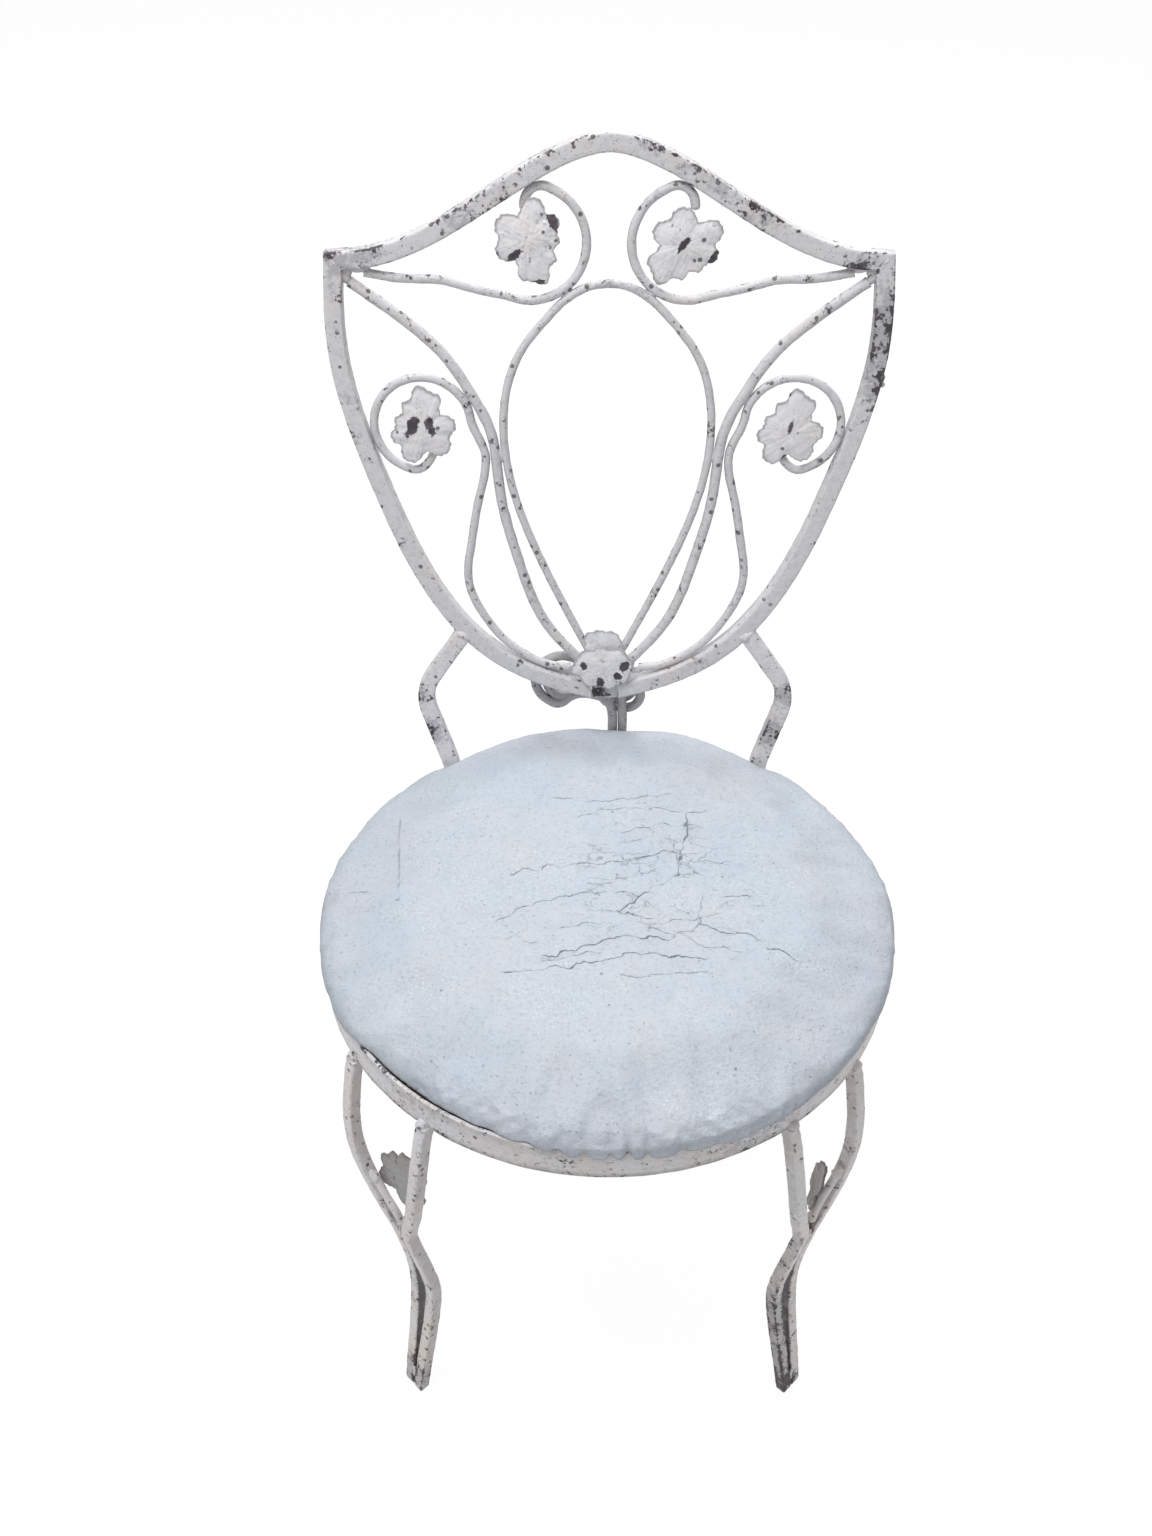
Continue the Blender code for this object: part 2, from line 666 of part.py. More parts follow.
def back_posts(paint, into, cutters):
    """Bent posts from the ring's outside to the shield's sides, fitted round both."""
    side = side_line()
    meet = side[int(np.argmin(np.abs(side[:, 1] - SHOULDER * POST_MEETS)))]
    seat = Vector((0, SEAT_Y, RING_UNDERSIDE))
    out = RING_RADIUS + BAR / 2
    flat = shield_frame()
    ring = bpy.data.meshes.new("ring_fit")
    work = bmesh.new()
    bmesh.ops.create_cone(work, cap_ends=True, segments=RING_STEPS, radius1=RING_RADIUS + JOIN,
                          radius2=RING_RADIUS + JOIN, depth=4 * RING_HEIGHT)
    work.to_mesh(ring)
    work.free()
    round_cutter = as_cutter(mesh_object("ring_fit", ring, Matrix.Translation(seat), None, cutters))
    for name, hand in (("left", -1), ("right", 1)):
        foot = seat + Vector((hand * out * sin(POST_FOOT_ANGLE), out * cos(POST_FOOT_ANGLE), 0))
        head = foot + Vector((0, 0, RING_HEIGHT * 0.9))
        elbow = seat + Vector((hand * POST_ELBOW[0] * RING_RADIUS, POST_ELBOW[1] * RING_RADIUS, ELBOW_HEIGHT))
        end = flat @ Vector((hand * meet[0], meet[1], 0))
        end -= (end - elbow).normalized() * POST_SHORT
        path = [foot, *rounded(foot, head, elbow, 3 * ELBOW_RADIUS, 4),
                *rounded(head, elbow, end, ELBOW_RADIUS), end]
        across = (elbow - head).cross(end - elbow).normalized() * hand
        if across.y > 0:
            across = -across
        up = Vector((0, 0, 1))
        up = (up - across * up.dot(across)).normalized()
        local = frame_matrix(elbow, up.cross(across).normalized(), up, across)
        inverse = local.inverted()
        points = [tuple(inverse @ p) for p in path]
        post = bar("back_post_" + name, points, BAR, BAR_EASE, local, paint, into)
        cut(post, round_cutter)
        grown = spaced(side_line() * (hand, 1), STEP)
        fit = bar("post_fit_" + name, grown, BAR + 2 * JOIN, BAR_EASE, flat, paint, cutters)
        cut(post, as_cutter(fit))


def rear_scrolls(paint, into):
    """Two rods that rise side by side behind the ring and curl away behind the tip."""
    behind = -(BAR / 2 + SWEEP_ROD / 2 + JOIN)
    apart = (SWEEP_ROD + JOIN) / 2
    ring_v = -TIP_ABOVE_RING / cos(RAKE)
    flat = shield_frame()
    down = flat.inverted() @ Vector((0, SEAT_Y + RING_RADIUS + SWEEP_ROD / 2 + JOIN, RING_UNDERSIDE))
    up = flat.inverted() @ Vector((0, SEAT_Y + RING_RADIUS + SWEEP_ROD / 2 + JOIN, RING_UNDERSIDE + RING_HEIGHT))
    left_x = STEM_MIDDLE - apart
    right_x = STEM_MIDDLE + apart
    cx, cv, cr = LEFT_CURL
    left = [(left_x, down.y, down.z), (left_x, up.y, up.z), (left_x, -0.030, behind - STEM_BACK),
            (left_x - 0.0045, -0.0135, behind), (-0.0130, -0.0075, behind), (-0.0265, -0.0095, behind)]
    left += [(x, v, behind) for x, v in arc((cx, cv), cr, -98, -330, 9)]
    rx, rv, rr = RIGHT_CURL
    right = [(right_x, down.y, down.z), (right_x, up.y, up.z), (right_x, -0.030, behind - STEM_BACK),
             (right_x, -0.004, behind), (right_x + 0.0048, 0.0085, behind)]
    layers = (0, 0, -0.0022, -0.0064, -0.0098, -0.0106, -0.0106, -0.0106, -0.0106)
    turn = arc((rx, rv), rr, 22, -236, len(layers) - 1)
    right += [(x, v, behind + layer) for (x, v), layer in zip(turn, layers)]
    rod("rear_scroll_left", smooth(left, CURL_STEP), SWEEP_ROD, flat, paint, into)
    rod("rear_scroll_right", smooth(right, CURL_STEP), SWEEP_ROD, flat, paint, into)


def leg_frame(azimuth):
    """A leg's frame on the floor line: x out along its radius, y up, z across the leg."""
    out = Vector((sin(azimuth), -cos(azimuth), 0))
    up = Vector((0, 0, 1))
    return frame_matrix(Vector((0, SEAT_Y, 0)), out, up, out.cross(up))


def leg_profile():
    return fine_curve(LEG_PROFILE + ((LEG_FOOT_OUT, RING_UNDERSIDE - FOOT_STRAIGHT),))


def leg_spread(top):
    """Distance of one bar from the leg's middle, against the drop below the ring."""
    return fine_curve(((0, top), (0.030, top * 0.99), (0.075, top * 0.90), (0.115, top * 0.60),
                       (0.140, top * 0.33), (LEG_MEET, (LEG_BAR + JOIN) / 2)))


def leg_points(across, top):
    """Points down one bar of a leg; across is -1 or 1 for the side of the leg it keeps to."""
    top_out = RING_RADIUS - LEG_BAR / 2
    together = (LEG_BAR + JOIN) / 2
    knee = together + LEG_KNEE_PART
    spread = leg_spread(top)
    profile = spaced(leg_profile(), STEP)
    points = [(top_out, RING_UNDERSIDE - drop, across * top) for drop in (JOIN, LEG_STRAIGHT)]
    for out, drop in profile[profile[:, 1] > 2 * LEG_STRAIGHT]:
        if drop < LEG_MEET:
            aside = np.interp(drop, spread[:, 0], spread[:, 1])
        elif drop < LEG_KNEE:
            share = (drop - LEG_MEET) / (LEG_KNEE - LEG_MEET)
            aside = together + (knee - together) * (0.5 - 0.5 * cos(pi * share)) ** 2
        else:
            share = (drop - LEG_KNEE) / (RING_UNDERSIDE - FOOT_STRAIGHT - LEG_KNEE)
            aside = knee + (together - knee) * share
        points.append((top_out + out, RING_UNDERSIDE - drop, across * aside))
    points.append((top_out + LEG_FOOT_OUT, 0, across * together))
    return points


def leg_stem(ends, top, outer):
    """Points up a stem from between the bars, its upper end set against the outer bar."""
    top_out = RING_RADIUS - LEG_BAR / 2
    profile = leg_profile()
    spread = leg_spread(top)[:, ::-1]
    low, high = ends
    gap = (LEG_BAR + STEM_ROD) / 2 + JOIN

    def line(aside):
        return smooth(((0, low), (aside * 0.16, low * 0.7 + high * 0.3), (aside * 0.62, low * 0.3 + high * 0.7),
                       (aside, high)), STEP / 2)

    aside = solve(lambda inside: least_distance(line(top - inside), spread), gap, 0, top)
    points = []
    for z, drop in line(top - aside):
        out = np.interp(drop, profile[:, 1], profile[:, 0])
        points.append((top_out + out, RING_UNDERSIDE - drop, outer * z))
    return points


def leg_leaf(name, inward, place, outer, where, paint, into):
    """A leaf behind the stem, this far inward from the middles of the leg's bars."""
    drop, aside, tilt, turn, spin, scale = place
    profile = leg_profile()
    out = RING_RADIUS - LEG_BAR / 2 + np.interp(drop, profile[:, 1], profile[:, 0]) - inward
    at = Matrix.Translation((out, RING_UNDERSIDE - drop, outer * aside))
    at = at @ Matrix.Rotation(radians(-outer * turn), 4, "Y") @ Matrix.Rotation(radians(tilt), 4, "Z")
    at = at @ Matrix.Rotation(radians(90), 4, "Y") @ Matrix.Rotation(radians(outer * spin), 4, "Z")
    leaf(name, where @ at, paint, into, scale=scale)


def legs(paint, leaf_paint, into):
    """Each leg: two bars that meet, part at the knee and meet again, a stem and a leaf."""
    places = (("front_left", -LEG_AZIMUTH, 1, WIDE_SPREAD, LEG_STEM, LEG_LEAF),
              ("front_right", LEG_AZIMUTH, -1, LEG_SPREAD, RIGHT_STEM, RIGHT_LEAF),
              ("rear_left", LEG_AZIMUTH - pi, -1, LEG_SPREAD, LEG_STEM, LEG_LEAF),
              ("rear_right", pi - LEG_AZIMUTH, 1, LEG_SPREAD, LEG_STEM, LEG_LEAF))
    for place, azimuth, outer, wide, stem, leaf_place in places:
        where = leg_frame(azimuth)
        name = "leg_" + place
        bar(name + "_inner_bar", leg_points(-outer, LEG_SPREAD), LEG_BAR, LEG_EASE, where, paint, into)
        bar(name + "_outer_bar", leg_points(outer, wide), LEG_BAR, LEG_EASE, where, paint, into)
        rod(name + "_stem", leg_stem(stem, wide, outer), STEM_ROD, where, paint, into)
        leg_leaf(name + "_leaf", LEAF_INWARD[place], leaf_place, outer, where, leaf_paint, into)


def build():
    clear_scene()
    chair = collection("vanity_chair")
    cutters = collection("vanity_chair_cutters")
    cutters.hide_render = True
    iron = material("painted_iron", (0.70, 0.68, 0.66), 0.55, 0.0)
    leaf_iron = material("painted_leaf", (0.66, 0.66, 0.66), 0.50, 0.0)
    vinyl = material("seat_vinyl", (0.62, 0.67, 0.71), 0.50, 0.0)
    ply = material("seat_plywood", (0.42, 0.29, 0.17), 0.75, 0.0)
    seat_ring(iron, chair)
    rest_tabs(iron, chair)
    seat_board(ply, chair)
    seat_cushion(vinyl, chair)
    shield_frame_bars(iron, chair, cutters)
    back_rods(iron, chair)
    tie_plate(iron, chair)
    back_leaves(leaf_iron, chair)
    back_posts(iron, chair, cutters)
    rear_scrolls(iron, chair)
    legs(iron, leaf_iron, chair)


build()
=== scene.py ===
from math import atan2, cos, pi, radians, sin, sqrt

import bmesh
import bpy
import numpy as np
from bpy.props import FloatProperty, FloatVectorProperty, PointerProperty
from mathutils import Matrix, Vector


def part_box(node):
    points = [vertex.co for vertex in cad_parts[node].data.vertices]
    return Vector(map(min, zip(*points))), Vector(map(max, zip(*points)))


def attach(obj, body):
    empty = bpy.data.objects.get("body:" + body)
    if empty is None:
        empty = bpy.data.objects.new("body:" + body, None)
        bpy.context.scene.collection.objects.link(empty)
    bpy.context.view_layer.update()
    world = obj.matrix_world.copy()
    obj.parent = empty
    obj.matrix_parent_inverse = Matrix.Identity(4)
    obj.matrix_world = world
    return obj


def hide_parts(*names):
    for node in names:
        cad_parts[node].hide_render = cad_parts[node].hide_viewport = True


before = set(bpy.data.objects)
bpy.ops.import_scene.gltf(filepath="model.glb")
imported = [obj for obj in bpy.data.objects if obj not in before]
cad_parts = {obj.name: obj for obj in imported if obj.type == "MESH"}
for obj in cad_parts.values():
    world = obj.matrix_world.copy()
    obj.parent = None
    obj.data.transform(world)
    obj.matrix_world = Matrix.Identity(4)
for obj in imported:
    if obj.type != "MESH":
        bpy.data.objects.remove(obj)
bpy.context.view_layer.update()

bl_info = {
    "name": "Vanity chair",
    "version": (1, 0, 0),
    "blender": (4, 5, 0),
    "location": "View3D > Sidebar > Vanity chair",
    "description": "Builds the looks of a painted iron vanity chair on its packed solids",
    "category": "Add Mesh",
}

# Sizes of the solids, in metres, as the chair's own source has them
JOIN = 0.0003
BAR = 0.0127
LEG_BAR = 0.0095
SWEEP_ROD = 0.0076
SCROLL_ROD = 0.0063
OVAL_ROD = 0.0060
STEM_ROD = 0.0060
LEAF_SHEET = 0.0015
RING_RADIUS = 0.200
RING_HEIGHT = 0.0254
RING_WALL = 0.0032
RING_UNDERSIDE = 0.370
TAB_RISE = 0.008
BOARD_SHEET = 0.009
PAD_CLEARANCE = 0.0033
CUSHION_LIFT = 0.0005
CUSHION_CROWN = 0.034
RAKE = radians(8.75)
TIP_BEHIND_SEAT = RING_RADIUS - 0.0032
TIP_ABOVE_RING = 0.0725
HALF_WIDTH = 0.185
SHOULDER = 0.334
CREST = 0.410
OGEE = 0.87
FRAME_END = 0.0103
TIP_V = 0.0020
SIDE_CURVE = ((1.0, 1.0), (1.011, 0.82), (0.962, 0.665), (0.880, 0.515), (0.710, 0.284),
              (0.463, 0.111), (0.228, 0.040))
OVAL_TOP = ((0.0, 0.0), (0.0125, -0.0015), (0.0223, -0.0060), (0.0320, -0.0132), (0.0425, -0.0240))
OVAL_HALF_WIDTH = 0.0738
OVAL_SIDE = ((0.0600, 0.2720), (OVAL_HALF_WIDTH, 0.213), (0.0470, 0.1100), (0.0085, 0.0290))
SWEEP_START = (0.0096, 0.0145)
SWEEP_CURVE = ((0.134, 0.2885), (0.114, 0.269), (0.0965, 0.242))
SWEEP_TOUCH = 0.187
SWEEP_END = ((0.0765, 0.1610), (0.0650, 0.1130), (0.0465, 0.0630), (0.0195, 0.0290))
UPPER_RADIUS = 0.0382
UPPER_CENTRE_X = 0.0532
UPPER_TAIL = ((0.136, 0.3215), (0.113, 0.3205), (0.092, 0.3150))
UPPER_TAIL_START = 0.020
UPPER_HOOK = ((-0.0085, 0.0372), (-0.0012, 0.0346), (0.0028, 0.0285), (0.0035, 0.0215))
LOWER_RADIUS = 0.0345
LOWER_CENTRE_V = 0.2185
LOWER_HOOK = ((-0.0075, -0.0198), (-0.0020, -0.0290), (0.0060, -0.0337))
LOWER_NECK = 0.200
LOWER_RUN = ((0.0925, 0.1640), (0.1000, 0.1250), (0.1030, 0.0980))
LOWER_ALONG = ((0.102, 1.7), (0.082, 1.25), (0.064, 1.06), (0.046, 1.06))
LOWER_FOOT = (0.0260, 0.0225)
TIE_HEIGHT = 0.0110
TIE_SHEET = 0.0045
TIE_HOLE = 0.0034
POST_DEGREES = 35.5
POST_FOOT_ANGLE = radians(POST_DEGREES)
POST_ELBOW = (0.71, 0.94)
ELBOW_HEIGHT = 0.0810
POST_MEETS = 0.170
ELBOW_RADIUS = 0.014
STEM_MIDDLE = 0.0105
STEM_BACK = 0.0014
LEFT_CURL = (-0.0330, 0.0050, 0.0215)
RIGHT_CURL = (0.0120, -0.0080, 0.0165)
LEG_AZIMUTH = radians(46.5)
LEG_PROFILE = ((0.0, 0.0), (0.0060, 0.030), (0.0115, 0.075), (0.0095, 0.115), (0.0035, 0.160),
               (-0.0045, 0.205), (-0.0085, 0.243), (-0.0055, 0.275), (0.0030, 0.325))
LEG_FOOT_OUT = 0.0098
LEG_SPREAD = 0.0340
WIDE_SPREAD = 0.0405
LEG_MEET = 0.158
LEG_KNEE = 0.243
LEG_KNEE_PART = 0.0045
LEG_STRAIGHT = 0.005
FOOT_STRAIGHT = 0.006
LEG_STEM = (0.146, 0.106)
RIGHT_STEM = (0.134, 0.096)
LEG_LEAF = (0.0975, -0.001, 10, -4, -28, 1.0)
RIGHT_LEAF = (0.1180, 0.0125, -15, 30, 115, 0.78)
LEAF_INWARD = {"front_left": 0.0120, "front_right": 0.0109, "rear_left": 0.0113, "rear_right": 0.0127}
LEAF_BODY = 0.0160
LEAF_LOBES = ((-0.0017, 0.0263, 0.0058), (0.0070, 0.0210, 0.0062), (-0.0103, 0.0166, 0.0048),
              (-0.0156, 0.0060, 0.0050), (-0.0176, -0.0048, 0.0062), (-0.0093, -0.0170, 0.0078),
              (0.0102, -0.0112, 0.0086), (0.0148, 0.0028, 0.0080))
LEAF_CROWN = 0.0025
TIP_LEAF = (0.0030, 0.0215, 92, 0.86)
TIP_BUD = (-0.0010, 0.0335, -4, 0.62)
BACK_LEAVES = (("upper_leaf_left", (-0.0545, 0.3490), 197), ("upper_leaf_right", (0.0500, 0.3460), 142),
               ("lower_leaf_left", (-0.1300, 0.2165), 0), ("lower_leaf_right", (0.1300, 0.2145), -9))

SHIELD_REACH = TIP_BEHIND_SEAT + CREST * sin(RAKE) + BAR / 2 * (sin(RAKE) + cos(RAKE))
SEAT_Y = -(SHIELD_REACH - RING_RADIUS) / 2
RING_INSIDE = RING_RADIUS - RING_WALL
RING_TOP = RING_UNDERSIDE + RING_HEIGHT
SHIELD_UP = Vector((0, sin(RAKE), cos(RAKE)))
SHIELD_OUT = Vector((0, -cos(RAKE), sin(RAKE)))
TIP = Vector((0, SEAT_Y + TIP_BEHIND_SEAT, RING_UNDERSIDE + TIP_ABOVE_RING))

# What the looks add to the solids: the pad's crown, and the shapes and shifts of the tip leaf and its bud
PAD_CROWN = 0.0355
TIP_HALF = (0.0165, 0.0215)
TIP_POWER = 2.6
BUD_HALF = (0.0138, 0.0100)
BUD_POWER = 3
SHIFTS = {"tip_leaf": (0.0050, 0.0038), "tip_bud": (-0.0022, 0.0128)}
POST_BEND = 2.2 * ELBOW_RADIUS
HEAD_BEND = 3 * ELBOW_RADIUS
REAR_LAYER = 0.0106
TIE_HOLE_AT = (-0.005, -0.0005)

RING_EASE = 0.0011
RING_STEPS = 288
# Worn stretches of the ring: direction, half width in degrees and amount
RING_WORN = ((-62, 16, 0.75), (-100, 9, 0.5), (-129, 14, 0.6))
TAB_EASE = 0.12

# Weld beads, as half width, half depth and half length; the two drips also have x and height up the rake
POST_END_BEAD = (0.0082, 0.0078, 0.0042)
POST_FOOT_BEAD = (0.0070, 0.0070, 0.0125)
STEM_FOOT_BEAD = (0.0055, 0.0030, 0.0085)
CURL_BEAD = (0.003, 0.003, 0.006)
LEG_TOP_BEAD = (0.0046, 0.0046, 0.0058)
LEG_STEM_BEAD = (0.0036, 0.0036, 0.0062)
LEG_SEAM = 0.0017
DRIPS = (((0.1905, 0.2535, 0.002), (0.0022, 0.0020, 0.0042), 71),
         ((0.1915, 0.2490, 0.003), (0.0016, 0.0016, 0.0022), 72))

HANDS = (("left", -1), ("right", 1))
# Each leg: name, direction, side of its outer bar, that bar's spread, stem and leaf
LEGS = (("front_left", -LEG_AZIMUTH, 1, WIDE_SPREAD, LEG_STEM, LEG_LEAF),
        ("front_right", LEG_AZIMUTH, -1, LEG_SPREAD, RIGHT_STEM, RIGHT_LEAF),
        ("rear_left", LEG_AZIMUTH - pi, -1, LEG_SPREAD, LEG_STEM, LEG_LEAF),
        ("rear_right", pi - LEG_AZIMUTH, 1, LEG_SPREAD, LEG_STEM, LEG_LEAF))

# Heavy wear on the back: x and height up the rake, reach, and how bare, all in the shield's plane
WORN_BACK = ((-0.018, 0.413, 0.007, 0.5), (0.026, 0.412, 0.012, 0.8), (0.050, 0.396, 0.012, 0.6),
             (0.072, 0.386, 0.013, 0.9), (0.103, 0.364, 0.016, 0.9), (-0.045, 0.402, 0.010, 0.6),
             (-0.072, 0.384, 0.013, 0.7), (-0.099, 0.364, 0.016, 0.8), (-0.160, 0.340, 0.018, 0.8),
             (-0.183, 0.334, 0.012, 0.9), (0.160, 0.338, 0.015, 0.3), (0.184, 0.330, 0.016, 0.5),
             (0.195, 0.300, 0.017, 1.5), (0.193, 0.275, 0.016, 1.4), (0.189, 0.248, 0.013, 1.4),
             (-0.187, 0.314, 0.008, 0.6), (-0.183, 0.272, 0.006, 0.6), (-0.181, 0.240, 0.007, 0.7),
             (-0.177, 0.211, 0.007, 0.7), (-0.157, 0.135, 0.006, 0.7), (0.000, 0.319, 0.010, 0.9),
             (0.021, 0.313, 0.006, 0.9), (0.035, 0.089, 0.014, 0.6), (0.026, 0.381, 0.014, 0.6),
             (0.153, 0.189, 0.010, 0.9), (0.151, 0.302, 0.007, 0.8), (0.073, 0.029, 0.008, 0.8),
             (0.098, 0.109, 0.006, 0.8), (-0.136, -0.024, 0.014, 1.3), (-0.144, 0.006, 0.009, 1.2),
             (-0.150, 0.030, 0.009, 1.0), (0.128, -0.024, 0.014, 1.4), (0.139, 0.007, 0.011, 1.3),
             (0.150, 0.036, 0.011, 1.2), (0.166, 0.331, 0.006, 1.0))

# Worn bands of the legs: height, reach and amount
LEG_WORN = ((RING_UNDERSIDE - LEG_KNEE, 0.040, 0.55), (RING_UNDERSIDE - LEG_MEET, 0.030, 0.60),
            (0.01, 0.032, 1.7))

# A bar that has lost its paint low down: amount, height and the height's soft edge
BARE_FOOT = {"leg_front_right_inner_bar": (1.15, 0.130, 0.012)}

# Bare patches of each leaf: middle, half length, half width and direction, in the leaf's own plane
LEAF_BARE = {
    "lower_leaf_left": ((-0.0080, 0.0020, 0.0078, 0.0042, 1.15), (0.0048, 0.0036, 0.0078, 0.0036, 1.75)),
    "lower_leaf_right": ((-0.0015, 0.0046, 0.0052, 0.0016, 1.5), (-0.0008, -0.020, 0.0034, 0.0018, 1.5)),
    "upper_leaf_right": ((0.0005, 0.0005, 0.0060, 0.0021, 1.54), (-0.0215, -0.0048, 0.0050, 0.0024, 1.7)),
    "upper_leaf_left": ((-0.020, -0.006, 0.0060, 0.0026, 1.5), (0.0115, 0.0075, 0.0050, 0.0026, 0.3),
                        (0.0020, 0.0300, 0.0050, 0.0020, 0.0)),
    "tip_leaf": ((0.0027, 0.0181, 0.0034, 0.0022, 0.3), (0.0012, -0.0177, 0.0046, 0.0034, -0.3),
                 (-0.0140, 0.0036, 0.0042, 0.0030, 0.2), (-0.0076, -0.0119, 0.0034, 0.0026, 0.6)),
}

# Cracks in the vinyl: how open each is, and a broken line in metres from the seat's middle
CRACKS = (
    (0.90, ((-.068, .008), (-.044, .014), (-.021, .018), (.010, .020), (.026, .0255), (.044, .033),
            (.055, .031), (.059, .052), (.057, .070), (.072, .077))),
    (1.00, ((.0545, .030), (.0515, .008), (.040, .000), (.025, -.010), (.009, -.027), (.018, -.033),
            (.033, -.032))),
    (0.70, ((-.076, -.038), (-.063, -.026), (-.044, -.017), (-.018, -.0105), (.002, -.008), (.021, -.014))),
    (0.90, ((-.067, -.081), (-.042, -.079), (-.018, -.075), (.002, -.070), (.0185, -.065), (.041, -.066),
            (.064, -.069))),
    (1.00, ((-.041, -.068), (-.020, -.062), (-.004, -.055), (.0146, -.049), (.024, -.0515), (.041, -.052),
            (.0615, -.039), (.077, -.043), (.102, -.0486))),
    (0.66, ((-.037, .090), (-.003, .0845), (.028, .090), (.050, .0945))),
    (0.55, ((-.032, -.043), (-.009, -.038), (.009, -.039))),
    (0.66, ((.007, -.086), (.040, -.082), (.068, -.079))),
    (0.80, ((.066, -.011), (.064, -.027), (.0635, -.038))),
    (0.70, ((.108, -.056), (.126, -.066))),
    (0.66, ((-.023, .065), (-.003, .075), (.028, .078), (.058, .0735))),
    (0.70, ((.022, .025), (.024, .007), (.035, .014))),
    (0.50, ((.080, .038), (.0645, .022), (.0955, .0205))),
    (0.66, ((.010, .051), (.042, .060), (.069, .058))),
    (0.60, ((-.011, -.027), (.009, -.028))),
    (0.50, ((-.1895, .004), (-.177, .007), (-.165, .004))),
    (0.58, ((-.147, .036), (-.132, .045))),
    (0.60, ((-.0425, -.072), (-.026, -.069), (-.004, -.064))),
    (0.50, ((.080, -.012), (.100, -.012))),
    (0.55, ((.039, -.037), (.060, -.034), (.078, -.027))),
    (0.66, ((-.078, -.052), (-.062, -.050), (-.047, -.056))),
    (0.58, ((.047, .046), (.052, .020), (.066, .006))),
    (0.58, ((.030, -.044), (.050, -.047), (.066, -.058), (.088, -.061))),
    (0.58, ((-.020, .040), (.006, .038), (.024, .044))),
)
SCRATCH = ((-.1516, .0775), (-.1483, .0337), (-.144, -.0126))

# The pad: its skin as shares of radius and height, and its tucks as direction, half width and depth
PAD_CURVE = ((0, 1.0), (0.10, 0.998), (0.22, 0.988), (0.33, 0.970), (0.42, 0.948), (0.52, 0.915),
             (0.60, 0.882), (0.68, 0.838), (0.76, 0.778), (0.82, 0.718), (0.88, 0.640), (0.92, 0.568),
             (0.95, 0.492), (0.972, 0.405), (0.986, 0.310), (0.996, 0.190), (1.0, 0.085), (0.998, 0.018))
TUCKS = ((-86.5, 0.8, 1.15), (-89.6, 0.9, 0.8), (-83.0, 0.9, 0.7), (-94.0, 1.1, 0.6), (-99, 1.2, 0.5),
         (-105, 1.3, 0.45), (-77, 1.2, 0.5), (-70, 1.6, 0.4), (-112, 1.8, 0.5), (-119, 1.5, 0.4),
         (-62, 2.2, 0.4), (-128, 3.0, 0.4), (-140, 2.5, 0.4), (-48, 3.0, 0.4), (-30, 3.5, 0.3),
         (-158, 3.0, 0.35), (172, 4.0, 0.3), (20, 4.0, 0.3), (140, 5.0, 0.3))
LIP_DRAWN_IN, DRAWN_WIDE = -130, 15
FRONT_RIM = (-92, 36)
PAD_STEPS = 160
VOXEL = 0.0050
FILL_FRAMES = 20
FILL_PRESSURE = 4.0
NEAR_CRACK = 0.0052
SECTORS = 72

CHIP_LIMIT = 0.632
# Each paint: tint, how much more has chipped, whether it is on thin sheet, how much more is pitted
PAINTS = {
    "chipped_paint": (1.0, 0.0, False, 0.0),
    "ring_paint": (1.12, 0.0, False, 0.0),
    "rod_paint": (0.97, 0.010, False, 0.06),
    # the legs' paint is lightened as painted light, against the shade the seat casts on them; it is also more
    # chipped and pitted
    "leg_paint_with_painted_light": (1.10, 0.004, False, 0.05),
    "leaf_paint": (1.16, -0.014, True, 0.0),
    # the leg leaves' paint is darkened as painted shade
    "leg_leaf_paint_with_painted_shade": (0.52, -0.004, True, 0.0),
    # the rear scrolls' paint is darkened as painted shade behind the shield, and chips more
    "rear_paint_with_painted_shade": (0.68, 0.030, False, 0.0),
}

# The stage
CAMERA_AT = (-0.0146, -0.8160, 1.2264)
CAMERA_TURN = (radians(41.388), radians(-0.47), radians(-0.16))
LENS, SENSOR = 37.5, 36.0
AIM = (0, 0, 0.4)
LAMPS = (("key", (-0.55, -0.30, 2.6), 1.0, 1.0), ("fill", (0.5, 1.6, 2.0), 0.75, 1.6))
FLOOR_REACH = 6.0
FLOOR_GLOW = 1.09
FLOOR_GLOW_SHARE = 0.86


class ChairSizes(bpy.types.PropertyGroup):
    path_step: FloatProperty(name="Path step", default=0.0026, unit="LENGTH",
                             description="Distance between two sections along a bar or rod")
    bar_ease: FloatProperty(name="Bar edge", default=0.0017, unit="LENGTH",
                            description="Radius of the worn edges of the square bars")
    paint_lumps: FloatProperty(name="Paint lumps", default=0.00022, unit="LENGTH",
                               description="How far the brushed paint swells and thins")
    weld: FloatProperty(name="Weld bead", default=0.0032, unit="LENGTH",
                        description="Radius of the weld beads between bars and rods")
    pad_swell: FloatProperty(name="Pad swell", default=0.0050, unit="LENGTH",
                             description="How far the pad may swell when it is filled")
    pleat: FloatProperty(name="Pleat depth", default=0.0034, unit="LENGTH",
                         description="Depth of the tucks at the pad's front rim")


